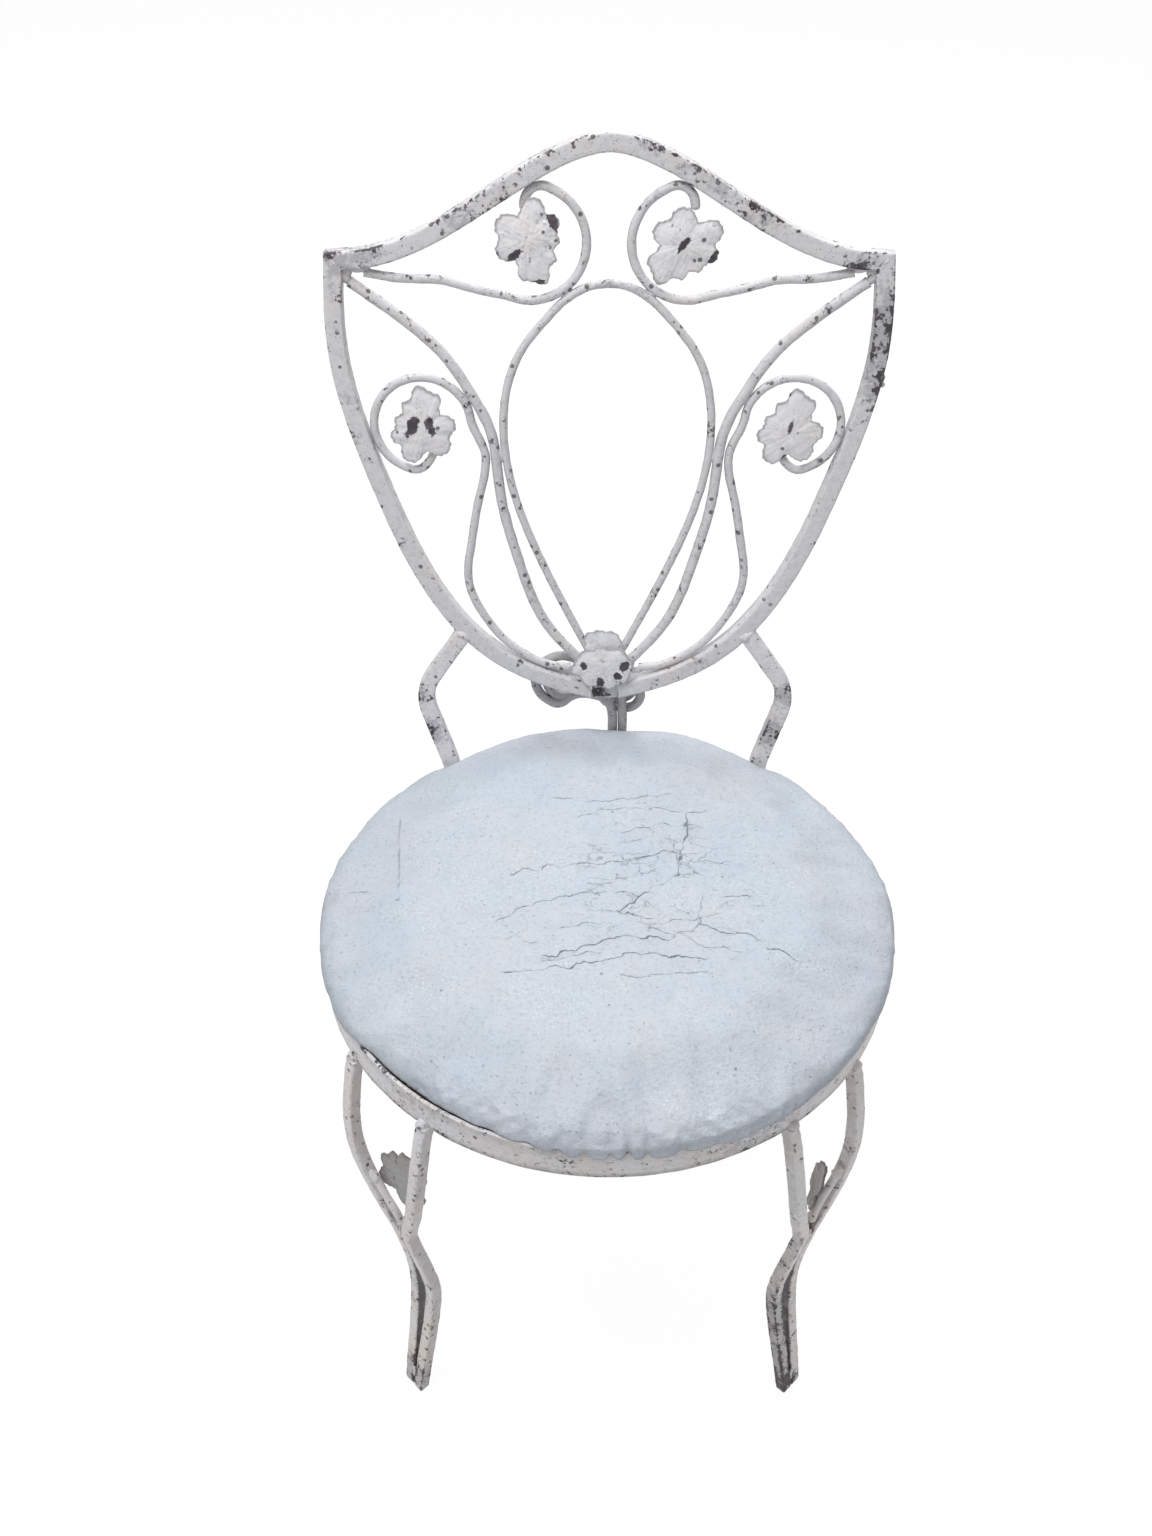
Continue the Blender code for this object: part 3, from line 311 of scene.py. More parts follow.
class ChairColours(bpy.types.PropertyGroup):
    paint: FloatVectorProperty(name="Paint", subtype="COLOR", default=(0.79, 0.79, 0.825), min=0, max=1,
                               description="Old white paint where it is clean")
    stain: FloatVectorProperty(name="Stain", subtype="COLOR", default=(0.80, 0.72, 0.675), min=0, max=1,
                               description="Yellowed and rust-stained paint, mostly low down")
    # also the colour of the painted shade on the iron's sides and undersides, between the leg bars, along the
    # ring's edges, and of the darker rim of the thin leaves
    grime_and_shade: FloatVectorProperty(name="Grime", subtype="COLOR", default=(0.20, 0.185, 0.19), min=0, max=1,
                               description="Grime in pits and round the chips")
    metal: FloatVectorProperty(name="Bare metal", subtype="COLOR", default=(0.060, 0.052, 0.060), min=0, max=1,
                               description="Dark iron where the paint has gone")
    vinyl: FloatVectorProperty(name="Vinyl", subtype="COLOR", default=(0.570, 0.645, 0.725), min=0, max=1,
                               description="Pale blue-grey vinyl of the pad")
    vinyl_worn: FloatVectorProperty(name="Rubbed vinyl", subtype="COLOR", default=(0.63, 0.66, 0.72),
                                    min=0, max=1, description="Vinyl rubbed pale")
    crack: FloatVectorProperty(name="Crack", subtype="COLOR", default=(0.13, 0.16, 0.20), min=0, max=1,
                               description="Dirt inside the cracks of the vinyl")
    wood: FloatVectorProperty(name="Plywood", subtype="COLOR", default=(0.30, 0.18, 0.09), min=0, max=1,
                              description="Bare underside of the seat board")


class StageSettings(bpy.types.PropertyGroup):
    world: FloatProperty(name="World light", default=0.38, min=0, description="Strength of the even light")
    key: FloatProperty(name="Key light", default=30.0, min=0, unit="POWER",
                       description="Power of the large lamp")


# Curves as points

def fine_curve(points):
    """Natural cubic spline through the points: the bends solve the usual three-term system."""
    p = np.array(points, float)
    span = np.linalg.norm(np.diff(p, axis=0), axis=1)
    n = len(p)
    inner = np.arange(1, n - 1)
    matrix = np.eye(n)
    matrix[inner, inner - 1] = span[:-1]
    matrix[inner, inner] = 2 * (span[:-1] + span[1:])
    matrix[inner, inner + 1] = span[1:]
    slope = np.diff(p, axis=0) / span[:, None]
    right = np.zeros_like(p)
    right[1:-1] = 6 * np.diff(slope, axis=0)
    bend = np.linalg.solve(matrix, right)
    b = (np.arange(32) / 32)[None, :, None]
    a = 1 - b
    h = span[:, None, None]
    line = (a * p[:-1, None] + b * p[1:, None]
            + ((a ** 3 - a) * bend[:-1, None] + (b ** 3 - b) * bend[1:, None]) * h * h / 6)
    return np.vstack([line.reshape(-1, p.shape[1]), p[-1:]])


def arc_length(points):
    """Running sum of the distances between neighbours."""
    return np.concatenate([[0], np.cumsum(np.linalg.norm(np.diff(points, axis=0), axis=1))])


def spaced(points, step):
    """The same line read off at even distances of about one step."""
    p = np.array(points, float)
    along = arc_length(p)
    count = max(3, int(round(along[-1] / step)))
    at = np.linspace(0, along[-1], count + 1)
    return np.stack([np.interp(at, along, p[:, k]) for k in range(p.shape[1])], 1)


def least_distance(a, b):
    """Least distance from the points of one line to the pieces of another."""
    start = b[:-1][None]
    line = (b[1:] - b[:-1])[None]
    share = ((a[:, None] - start) * line).sum(2) / (line ** 2).sum(2)
    near = start + np.clip(share, 0, 1)[..., None] * line
    return np.linalg.norm(a[:, None] - near, axis=2).min()


def beside(path, x, distance):
    """Point this far above the flat path where it passes x."""
    i = min(max(int(np.argmin(np.abs(path[:, 0] - x))), 1), len(path) - 2)
    along = path[i + 1] - path[i - 1]
    along = along / np.linalg.norm(along)
    side = np.array([along[1], -along[0]])
    return path[i] + side * np.sign(side[1]) * distance


def touching(first, second):
    """Distance between the middles of two bars or rods that are just joined."""
    return (first + second) / 2 + JOIN


def solve(measure, target, low, high):
    """Halve the span until the rising measure reaches its target."""
    for _ in range(40):
        middle = (low + high) / 2
        if measure(middle) < target:
            low = middle
        else:
            high = middle
    return high


def arc(centre, radius, start, end, count):
    """Points at even angles round a centre."""
    angle = np.radians(np.linspace(start, end, count + 1))
    return list(zip(centre[0] + radius * np.cos(angle), centre[1] + radius * np.sin(angle)))


def spiral(curl, first, last, start, end, count):
    """Points round a curl's centre whose radius shrinks evenly from one share of the curl's to another."""
    angle = np.radians(np.linspace(start, end, count + 1))
    radius = curl[2] * np.linspace(first, last, count + 1)
    return list(zip(curl[0] + radius * np.cos(angle), curl[1] + radius * np.sin(angle)))


def rail_line():
    """Half a cosine wave on each side: height = shoulder + rise * (1 + cos(pi |x / w|^ogee)) / 2."""
    xs = np.linspace(-HALF_WIDTH, HALF_WIDTH, 321)
    fall = 0.5 + 0.5 * np.cos(pi * np.abs(xs / HALF_WIDTH) ** OGEE)
    return np.stack([xs, SHOULDER + (CREST - SHOULDER) * fall], 1)


def side_line():
    """The side bar from its corner down to its end beside the tip."""
    points = [(HALF_WIDTH * a, SHOULDER * b) for a, b in SIDE_CURVE]
    return fine_curve(points + [(FRAME_END * 0.3, TIP_V)])


def upper_scroll_points(centre_v):
    """Corner points of the upper scroll: its tail below the rail, its round, and the hook inside."""
    rail = rail_line()
    start_x = HALF_WIDTH - UPPER_TAIL_START
    start_v = np.interp(start_x, rail[:, 0], rail[:, 1]) - touching(BAR, SCROLL_ROD) * 1.01
    points = [(start_x, start_v), *UPPER_TAIL]
    points += arc((UPPER_CENTRE_X, centre_v), UPPER_RADIUS, 292, 114, 12)
    return points + [(UPPER_CENTRE_X + x, centre_v + v) for x, v in UPPER_HOOK]


def upper_scroll_line():
    """The upper scroll, raised until its round just reaches the top rail."""
    rail = rail_line()
    drop = solve(lambda d: least_distance(fine_curve(upper_scroll_points(CREST - d))[120:], rail),
                 touching(BAR, SCROLL_ROD), UPPER_RADIUS, UPPER_RADIUS + 0.08)
    return fine_curve(upper_scroll_points(CREST - drop))


def oval_points(top):
    """Corner points of the oval, its top and right side mirrored to the left."""
    half = [(x, top + v) for x, v in OVAL_TOP] + list(OVAL_SIDE)
    return [(-x, v) for x, v in reversed(half[1:])] + half


def oval_line():
    """The oval, raised until it just reaches the two upper scrolls."""
    scroll = upper_scroll_line()
    drop = solve(lambda d: least_distance(fine_curve(oval_points(CREST - d)), scroll),
                 touching(OVAL_ROD, SCROLL_ROD), 0.06, 0.16)
    return fine_curve(oval_points(CREST - drop))


def sweep_line():
    """The rod from the corner to the tip, set against the oval's side."""
    oval = oval_line()
    oval = oval[oval[:, 0] > 0]
    start = (HALF_WIDTH - SWEEP_START[0], SHOULDER - SWEEP_START[1])

    def line(touch):
        return fine_curve([start, *SWEEP_CURVE, (touch + 0.0040, SWEEP_TOUCH + 0.027), (touch, SWEEP_TOUCH),
                           *SWEEP_END])

    return line(solve(lambda x: least_distance(line(x), oval), touching(OVAL_ROD, SWEEP_ROD),
                      OVAL_HALF_WIDTH - 0.01, OVAL_HALF_WIDTH + 0.03))


def lower_scroll_points(centre_x, neck_x, side):
    """Corner points of the lower scroll: hook, round, neck, and a run along the side bar to the tip."""
    along = touching(BAR, SCROLL_ROD)
    points = [(centre_x + x, LOWER_CENTRE_V + v) for x, v in LOWER_HOOK]
    points += arc((centre_x, LOWER_CENTRE_V), LOWER_RADIUS, -66, 176, 16)
    points += [(neck_x, LOWER_NECK), *LOWER_RUN]
    points += [tuple(beside(side, x, along * share)) for x, share in LOWER_ALONG]
    return points + [LOWER_FOOT]


def lower_scroll_line():
    """The lower scroll: its round against the side bar, its neck against the sweep rod."""
    side = side_line()
    sweep = sweep_line()

    def from_side(inward):
        return least_distance(fine_curve(lower_scroll_points(HALF_WIDTH - inward, 0.09, side)[:16]), side)

    shift = solve(from_side, touching(BAR, SCROLL_ROD), LOWER_RADIUS, LOWER_RADIUS + 0.08)
    centre_x = HALF_WIDTH - shift

    def from_sweep(neck_x):
        line = fine_curve(lower_scroll_points(centre_x, neck_x, side))
        neck = line[(np.abs(line[:, 1] - LOWER_NECK) < 0.03) & (line[:, 0] < centre_x)]
        return least_distance(neck, sweep)

    neck_x = solve(from_sweep, touching(SWEEP_ROD, SCROLL_ROD), 0.084, 0.100) + JOIN / 2
    return fine_curve(lower_scroll_points(centre_x, neck_x, side))


def leg_profile():
    """Distance out against distance down, for every leg."""
    return fine_curve(LEG_PROFILE + ((LEG_FOOT_OUT, RING_UNDERSIDE - FOOT_STRAIGHT),))


def leg_spread(top):
    """Distance down against distance aside, from a leg's top to where its bars meet."""
    return fine_curve(((0, top), (0.030, top * 0.99), (0.075, top * 0.90), (0.115, top * 0.60),
                       (0.140, top * 0.33), (LEG_MEET, (LEG_BAR + JOIN) / 2)))


def leg_line(across, top, step):
    """One bar of a leg: the profile gives how far out, and the spread, then the knee, how far aside."""
    together = (LEG_BAR + JOIN) / 2
    knee = together + LEG_KNEE_PART
    spread = leg_spread(top)
    profile = spaced(leg_profile(), step)
    profile = profile[profile[:, 1] > 2 * LEG_STRAIGHT]
    drop = profile[:, 1]
    apart = np.interp(drop, spread[:, 0], spread[:, 1])
    bulge = np.clip((drop - LEG_MEET) / (LEG_KNEE - LEG_MEET), 0, 1)
    rise = together + (knee - together) * (0.5 - 0.5 * np.cos(pi * bulge)) ** 2
    closing = np.clip((drop - LEG_KNEE) / (RING_UNDERSIDE - FOOT_STRAIGHT - LEG_KNEE), 0, 1)
    below = np.where(drop < LEG_KNEE, rise, knee + (together - knee) * closing)
    aside = np.where(drop < LEG_MEET, apart, below)
    top_out = RING_RADIUS - LEG_BAR / 2
    points = np.stack([top_out + profile[:, 0], RING_UNDERSIDE - drop, across * aside], 1)
    head = [(top_out, RING_UNDERSIDE - down, across * top) for down in (JOIN, LEG_STRAIGHT)]
    return np.vstack([head, points, [(top_out + LEG_FOOT_OUT, 0, across * together)]])


def leg_stem_line(ends, top, outer):
    """A stem from between the bars, its upper end set against the outer bar."""
    top_out = RING_RADIUS - LEG_BAR / 2
    profile = leg_profile()
    spread = leg_spread(top)[:, ::-1]
    low, high = ends

    def line(aside):
        return spaced(fine_curve(((0, low), (aside * 0.16, low * 0.7 + high * 0.3),
                                  (aside * 0.62, low * 0.3 + high * 0.7), (aside, high))), 0.00625)

    inside = solve(lambda inside: least_distance(line(top - inside), spread),
                   touching(LEG_BAR, STEM_ROD), 0, top)
    found = line(top - inside)
    out = np.interp(found[:, 1], profile[:, 1], profile[:, 0])
    return fine_curve(np.stack([top_out + out, RING_UNDERSIDE - found[:, 1], outer * found[:, 0]], 1))


def rounded(before, corner, after, radius, count=8):
    """A circle's arc laid into a corner so that it leaves both runs without a kink."""
    back = (before - corner).normalized()
    on = (after - corner).normalized()
    half = back.angle(on) / 2
    reach = radius / np.tan(half)
    middle = corner + (back + on).normalized() * (radius / sin(half))
    a = corner + back * reach - middle
    b = corner + on * reach - middle
    turn = pi - 2 * half
    return [middle + (a * sin((1 - k / count) * turn) + b * sin(k / count * turn)) / sin(turn)
            for k in range(count + 1)]


# Frames

def frame_matrix(origin, x_axis, y_axis, z_axis):
    """The matrix with this origin and these three axes."""
    rows = Matrix((x_axis, y_axis, z_axis)).transposed().to_4x4()
    rows.translation = origin
    return rows


def shield_frame(n=0.0):
    """x to the right, y up the rake and z out of the front, n in front of the tip."""
    return frame_matrix(TIP + SHIELD_OUT * n, Vector((1, 0, 0)), SHIELD_UP, SHIELD_OUT)


def leg_frame(azimuth):
    """x out of the seat's middle towards the leg, y up and z aside."""
    out = Vector((sin(azimuth), -cos(azimuth), 0))
    up = Vector((0, 0, 1))
    return frame_matrix(Vector((0, SEAT_Y, 0)), out, up, out.cross(up))


def moved(points, where):
    """Each point through the matrix."""
    m = np.array(where)
    p = np.asarray(points, float)
    if p.shape[1] == 2:
        p = np.hstack([p, np.zeros((len(p), 1))])
    return p @ m[:3, :3].T + m[:3, 3]


# Surfaces

def ripple(points, size, seed=3):
    """Sum of nine sine waves in fixed random directions, from about -1 to 1, of about this wave length."""
    pick = np.random.default_rng(seed)
    wave = pick.normal(size=(9, 3))
    wave *= (2 * pi / size) * pick.uniform(0.55, 1.6, (9, 1)) / np.linalg.norm(wave, axis=1, keepdims=True)
    phase = pick.uniform(0, 2 * pi, 9)
    return np.sin(points @ wave.T + phase).sum(1) / 4.2


def bar_section(width, ease):
    """Square with a quarter circle at each corner; the last column is 1 on the edges and 0 on the faces."""
    inner = width / 2 - ease
    turn = np.radians(np.linspace(0, 90, 5))
    share = np.array([0.2, 0.5, 0.8])[:, None]
    rows = []
    for k, (sx, sy) in enumerate(((1, 1), (-1, 1), (-1, -1), (1, -1))):
        angle = turn + k * pi / 2
        rows.append(np.stack([sx * inner + ease * np.cos(angle), sy * inner + ease * np.sin(angle),
                              1 - np.abs(np.linspace(-1, 1, 5)) * 0.55], 1))
        ahead = ((sx * inner, sy * (inner + ease)), (sx * (inner + ease), sy * inner))[k % 2]
        goal = ((-sx * inner, sy * (inner + ease)), (sx * (inner + ease), -sy * inner))[k % 2]
        face = np.array(ahead)[None] * (1 - share) + np.array(goal)[None] * share
        rows.append(np.hstack([face, [[0.18], [0.0], [0.18]]]))
    return np.vstack(rows)


def rod_section(thickness, sides=18):
    """Circle; the last column is a low, even edge value."""
    angle = np.arange(sides) / sides * 2 * pi
    return np.stack([np.cos(angle) * thickness / 2, np.sin(angle) * thickness / 2, np.full(sides, 0.25)], 1)


def quads(rows, columns, closed=False, back=False):
    """Faces of a grid whose columns close in a ring, and its rows too if closed; back turns them over."""
    i, j = np.meshgrid(np.arange(rows if closed else rows - 1), np.arange(columns), indexing="ij")
    on, down = (j + 1) % columns, (i + 1) % rows
    corners = (i * columns + j, i * columns + on, down * columns + on, down * columns + j)
    order = (0, 3, 2, 1) if back else (0, 1, 2, 3)
    return np.stack([corners[k] for k in order], -1).reshape(-1, 4).tolist()


def poles(rows, columns, back=False):
    """Triangles that close a grid's first and last rows with the two points that follow it."""
    hub = rows * columns
    faces = []
    for middle, base, forward in ((hub, 0, back), (hub + 1, hub - columns, not back)):
        for k in range(columns):
            pair = [base + k, base + (k + 1) % columns]
            faces.append([middle, *(pair if forward else pair[::-1])])
    return faces


def read_points(mesh, kind="co"):
    """Places or normals of a mesh's points as rows."""
    held = np.zeros(len(mesh.vertices) * 3)
    mesh.vertices.foreach_get(kind, held)
    return held.reshape(-1, 3)


def write_values(mesh, **values):
    """One number on each point under every title."""
    for title, numbers in values.items():
        held = mesh.attributes.new(title, "FLOAT", "POINT")
        held.data.foreach_set("value", np.asarray(numbers, np.float32))


def swept(line, section, where, planes=(), lumps=0.0, seed=3, dome=(False, False)):
    """Section carried along the line: point = line + a * side + b * up, with side square to the line and to
    the frame's own z. Each plane cuts the nearest end on a slant: the end's points slide along the line
    until they lie in it. A domed end closes in on a quarter circle."""
    p = np.hstack([line, np.zeros((len(line), 3 - line.shape[1]))])
    tangent = np.gradient(p, axis=0)
    tangent /= np.linalg.norm(tangent, axis=1, keepdims=True)
    side = np.cross([0.0, 0.0, 1.0], tangent)
    side /= np.linalg.norm(side, axis=1, keepdims=True)
    up = np.cross(tangent, side)
    size = np.ones((len(p), 1))
    reach = section[:, 0].max()
    quarter = np.radians((90, 68, 45, 22))[:, None]
    for end in [end for end, wanted in ((0, dome[0]), (-1, dome[1])) if wanted]:
        away = tangent[end] * (-1 if end == 0 else 1)
        start = p[end] - away * reach * 0.6
        cap = [start + away * (np.sin(quarter) * reach * 0.6)]
        cap += [np.repeat(rows[[end]], 4, 0) for rows in (tangent, side, up)] + [np.cos(quarter).clip(0.02)]
        kept = np.linalg.norm(p - p[end], axis=1) > reach * 0.62
        p, tangent, side, up, size = (
            np.vstack([new, old[kept]] if end == 0 else [old[kept], new[::-1]])
            for new, old in zip(cap, (p, tangent, side, up, size)))
    grid = (p[:, None] + section[None, :, 0, None] * side[:, None] * size[:, None]
            + section[None, :, 1, None] * up[:, None] * size[:, None])
    for end, point, normal in planes:
        normal = np.array(normal, float)
        reached = (np.array(point, float) - grid[end]) @ normal / (tangent[end] @ normal)
        grid[end] += reached[:, None] * tangent[end]
    rows, columns = grid.shape[:2]
    verts = moved(grid.reshape(-1, 3), where)
    middle = np.repeat(moved(p, where), columns, 0)
    if lumps:
        outward = verts - middle
        outward /= np.maximum(np.linalg.norm(outward, axis=1, keepdims=True), 1e-6)
        swell = lumps * (ripple(verts, 0.016, seed) * 0.6 + ripple(verts, 0.0065, seed + 9) * 0.5 - 0.2)
        keep = np.repeat(np.where((np.arange(rows) == 0) | (np.arange(rows) == rows - 1), 0.0, 1.0), columns)
        verts = verts + outward * (swell * keep)[:, None]
    edge = np.tile(section[:, 2], rows)
    caps = [list(range(columns))[::-1], list(range((rows - 1) * columns, rows * columns))]
    return verts, quads(rows, columns) + caps, edge


def joined(parts):
    """Several (points, faces, edge values) as one."""
    verts, faces, edges, base = [], [], [], 0
    for v, f, e in parts:
        verts.append(v)
        edges.append(e)
        faces += [[k + base for k in face] for face in f]
        base += len(v)
    return np.vstack(verts), faces, np.concatenate(edges)


def wear_on_back(points):
    """Sum of soft round spots in the shield's plane, and a band along the front edges."""
    local = moved(points, shield_frame().inverted())
    total = np.zeros(len(points))
    for x, v, reach, amount in WORN_BACK:
        away = (local[:, 0] - x) ** 2 + (local[:, 1] - v) ** 2
        total += amount * np.exp(-away / reach ** 2)
    return total.clip(0, 1.6)


def placed(name, data, where=None):
    """A new object in the scene."""
    made = bpy.data.objects.new(name, data)
    bpy.context.scene.collection.objects.link(made)
    if where is not None:
        made.matrix_world = where
    return made


def piece(name, verts, faces, edge, coat, worn, smooth=70, nodes=(), slot="painted_iron"):
    """Mesh object at the origin, faces outward, with its edge and wear values, on its body."""
    mesh = bpy.data.meshes.new(name)
    mesh.from_pydata(np.asarray(verts).tolist(), [], faces)
    write_values(mesh, edge=edge, worn=worn)
    work = bmesh.new()
    work.from_mesh(mesh)
    bmesh.ops.remove_doubles(work, verts=work.verts, dist=1e-6)
    bmesh.ops.recalc_face_normals(work, faces=work.faces)
    work.to_mesh(mesh)
    work.free()
    mesh.shade_smooth()
    mesh.set_sharp_from_angle(angle=radians(smooth))
    mesh.materials.append(coat)
    made = placed(name, mesh)
    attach(made, "frame")
    if nodes:
        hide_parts(*nodes)
    return made


# Materials

class Shader:
    """A Principled material and short ways to add its nodes."""

    def __init__(self, name):
        self.material = bpy.data.materials.new(name)
        self.material.use_nodes = True
        self.tree = self.material.node_tree
        self.bsdf = self.tree.nodes["Principled BSDF"]
        self.place = self.tree.nodes.new("ShaderNodeTexCoord").outputs["Object"]

    def link(self, source, socket):
        if isinstance(source, bpy.types.NodeSocket):
            self.tree.links.new(source, socket)
        else:
            socket.default_value = source

    def add(self, kind, inputs, output=0, **settings):
        """One node with its settings, its inputs set or linked, and the output that is wanted."""
        node = self.tree.nodes.new("ShaderNode" + kind)
        for title, value in settings.items():
            setattr(node, title, value)
        for title, value in inputs.items():
            self.link(value, node.inputs[title])
        return node.outputs[output]

    def finish(self, colour, roughness, normal):
        for title, value in (("Base Color", colour), ("Roughness", roughness), ("Normal", normal)):
            self.link(value, self.bsdf.inputs[title])
        return self.material

    def math(self, operation, a, b=0.0):
        return self.add("Math", {0: a, 1: b}, operation=operation)

    def times(self, a, b):
        return self.math("MULTIPLY", a, b)

    def plus(self, a, b):
        return self.math("ADD", a, b)

    def minus(self, a, b):
        return self.math("SUBTRACT", a, b)

    def most(self, a, b):
        return self.math("MAXIMUM", a, b)

    def value(self, name):
        return self.add("Attribute", {}, "Fac", attribute_name=name)

    def stretched(self, scale):
        return self.add("Mapping", {"Vector": self.place, "Scale": scale})

    def noise(self, scale, detail=4.0, rough=0.55, vector=None, distortion=0.0):
        return self.add("TexNoise", {"Vector": vector or self.place, "Scale": scale, "Detail": detail,
                                     "Roughness": rough, "Distortion": distortion}, "Fac")

    def warped(self, vector, scale, amount):
        """The vector moved by a noise's colour, times the amount."""
        noise = self.add("TexNoise", {"Vector": self.place, "Scale": scale}, "Color")
        return self.add("VectorMath", {0: noise, 1: (amount,) * 3, 2: vector}, operation="MULTIPLY_ADD")

    def cells(self, scale, feature="F1", vector=None):
        return self.add("TexVoronoi", {"Vector": vector or self.place, "Scale": scale}, "Distance",
                        feature=feature)

    def step(self, value, low, high, to_low=0.0, to_high=1.0):
        """Smooth step: to_low where the value is low, to_high where it is high, and between them between."""
        return self.add("MapRange", {"Value": value, "From Min": low, "From Max": high, "To Min": to_low,
                                     "To Max": to_high}, interpolation_type="SMOOTHSTEP")

    def patches(self, scale, detail, rough, low, high, *reach):
        """Smooth step of a noise."""
        return self.step(self.noise(scale, detail, rough), low, high, *reach)

    def mix(self, share, a, b):
        first, second = (c if isinstance(c, bpy.types.NodeSocket) else (*c, 1) for c in (a, b))
        return self.add("Mix", {"Factor": share, 6: first, 7: second}, 2, data_type="RGBA")

    def height(self):
        return self.add("SeparateXYZ", {0: self.place}, "Z")

    def bump(self, value, strength, distance, before=None):
        inputs = {"Height": value, "Strength": strength, "Distance": distance}
        return self.add("Bump", inputs if before is None else {**inputs, "Normal": before})


def toned(colour, amount):
    """The colour with every part times the amount."""
    return tuple(part * amount for part in colour)


def painted_iron(name, tint, chips, sheet, pitted):
    """Old brushed white paint: chips where noise plus the edge and wear values pass a limit, grime round
    them and in pits, stains low down, and a bump for the paint's thickness, brush marks and pits."""
    colours = bpy.context.scene.chair_colours
    s = Shader(name)
    edge, worn, fine = s.value("edge"), s.value("worn"), s.noise(420, 4, 0.6)
    field = s.plus(s.times(s.noise(100, 6, 0.66, distortion=0.4), 0.66), s.times(fine, 0.34))
    field = s.plus(field, s.times(edge, 0.045))
    field = s.plus(field, s.times(worn, s.plus(0.060, s.times(edge, 0.060))))
    limit = CHIP_LIMIT - chips
    bare = s.step(field, limit, limit + 0.016)
    rim = s.step(field, limit - 0.050, limit + 0.004)
    large = s.times(s.step(s.cells(135), 0.26, 0.19), s.patches(64, 3, 0.5, 0.52 - pitted, 0.60 - pitted))
    small = s.times(s.step(s.cells(520), 0.22, 0.10), s.step(s.noise(48), 0.50 - pitted, 0.62 - pitted))
    pits = s.most(large, small)
    # the paint from below: clean or stained, greyed by a veil, freshly rubbed, darkened by painted shade,
    # smeared
    clean = toned(colours.paint, tint)
    stained = s.plus(s.times(s.step(s.height(), 0.62, 0.05, 0.0, 0.80), 0.8), 0.28)
    stained = s.times(stained, s.plus(s.patches(26, 4, 0.6, 0.40, 0.66), 0.25))
    base = s.mix(stained, clean, toned(colours.stain, tint))
    base = s.mix(s.times(s.patches(240, 6, 0.75, 0.47, 0.66), 0.42), base, toned(clean, 0.66))
    rubbed = toned((0.90, 0.90, 0.88), min(tint, 1.0))
    base = s.mix(s.times(s.patches(300, 4, 0.7, 0.55, 0.68), 0.55), base, rubbed)
    # painted shade: the grime colour laid on where the aside value marks faces turned aside or down, broken up
    # by noise
    painted_shade = s.times(s.value("aside"), s.patches(110, 4, 0.6, 0.30, 0.62, 0.35, 0.75))
    base = s.mix(painted_shade, base, colours.grime_and_shade)
    smear = s.plus(s.times(worn, 0.0 if sheet else 0.30), s.noise(210, 6, 0.72))
    base = s.mix(s.step(smear, 0.62, 0.80, 0.0, 0.46), base, (0.27, 0.27, 0.31))
    # on the thin leaves, darker towards the rim
    if sheet:
        base = s.mix(s.step(edge, 0.30, 0.70, 0.0, 0.55), base, colours.grime_and_shade)
    base = s.mix(s.times(rim, 0.55), base, colours.grime_and_shade)
    base = s.mix(s.times(pits, 0.90), base, toned(colours.grime_and_shade, 0.62))
    iron = s.mix(s.patches(150, 3, 0.6, 0.35, 0.7), colours.metal, toned(colours.metal, 2.4))
    sunk = s.minus(1.0, s.most(bare, s.times(pits, 0.6)))
    relief = s.bump(fine, 0.16, 0.0010, s.bump(s.noise(170, 5, 0.6), 0.30, 0.0012))
    return s.finish(s.mix(bare, base, iron), s.step(bare, 0.0, 1.0, 0.46, 0.62),
                    s.bump(sunk, 0.75, 0.0006, relief))


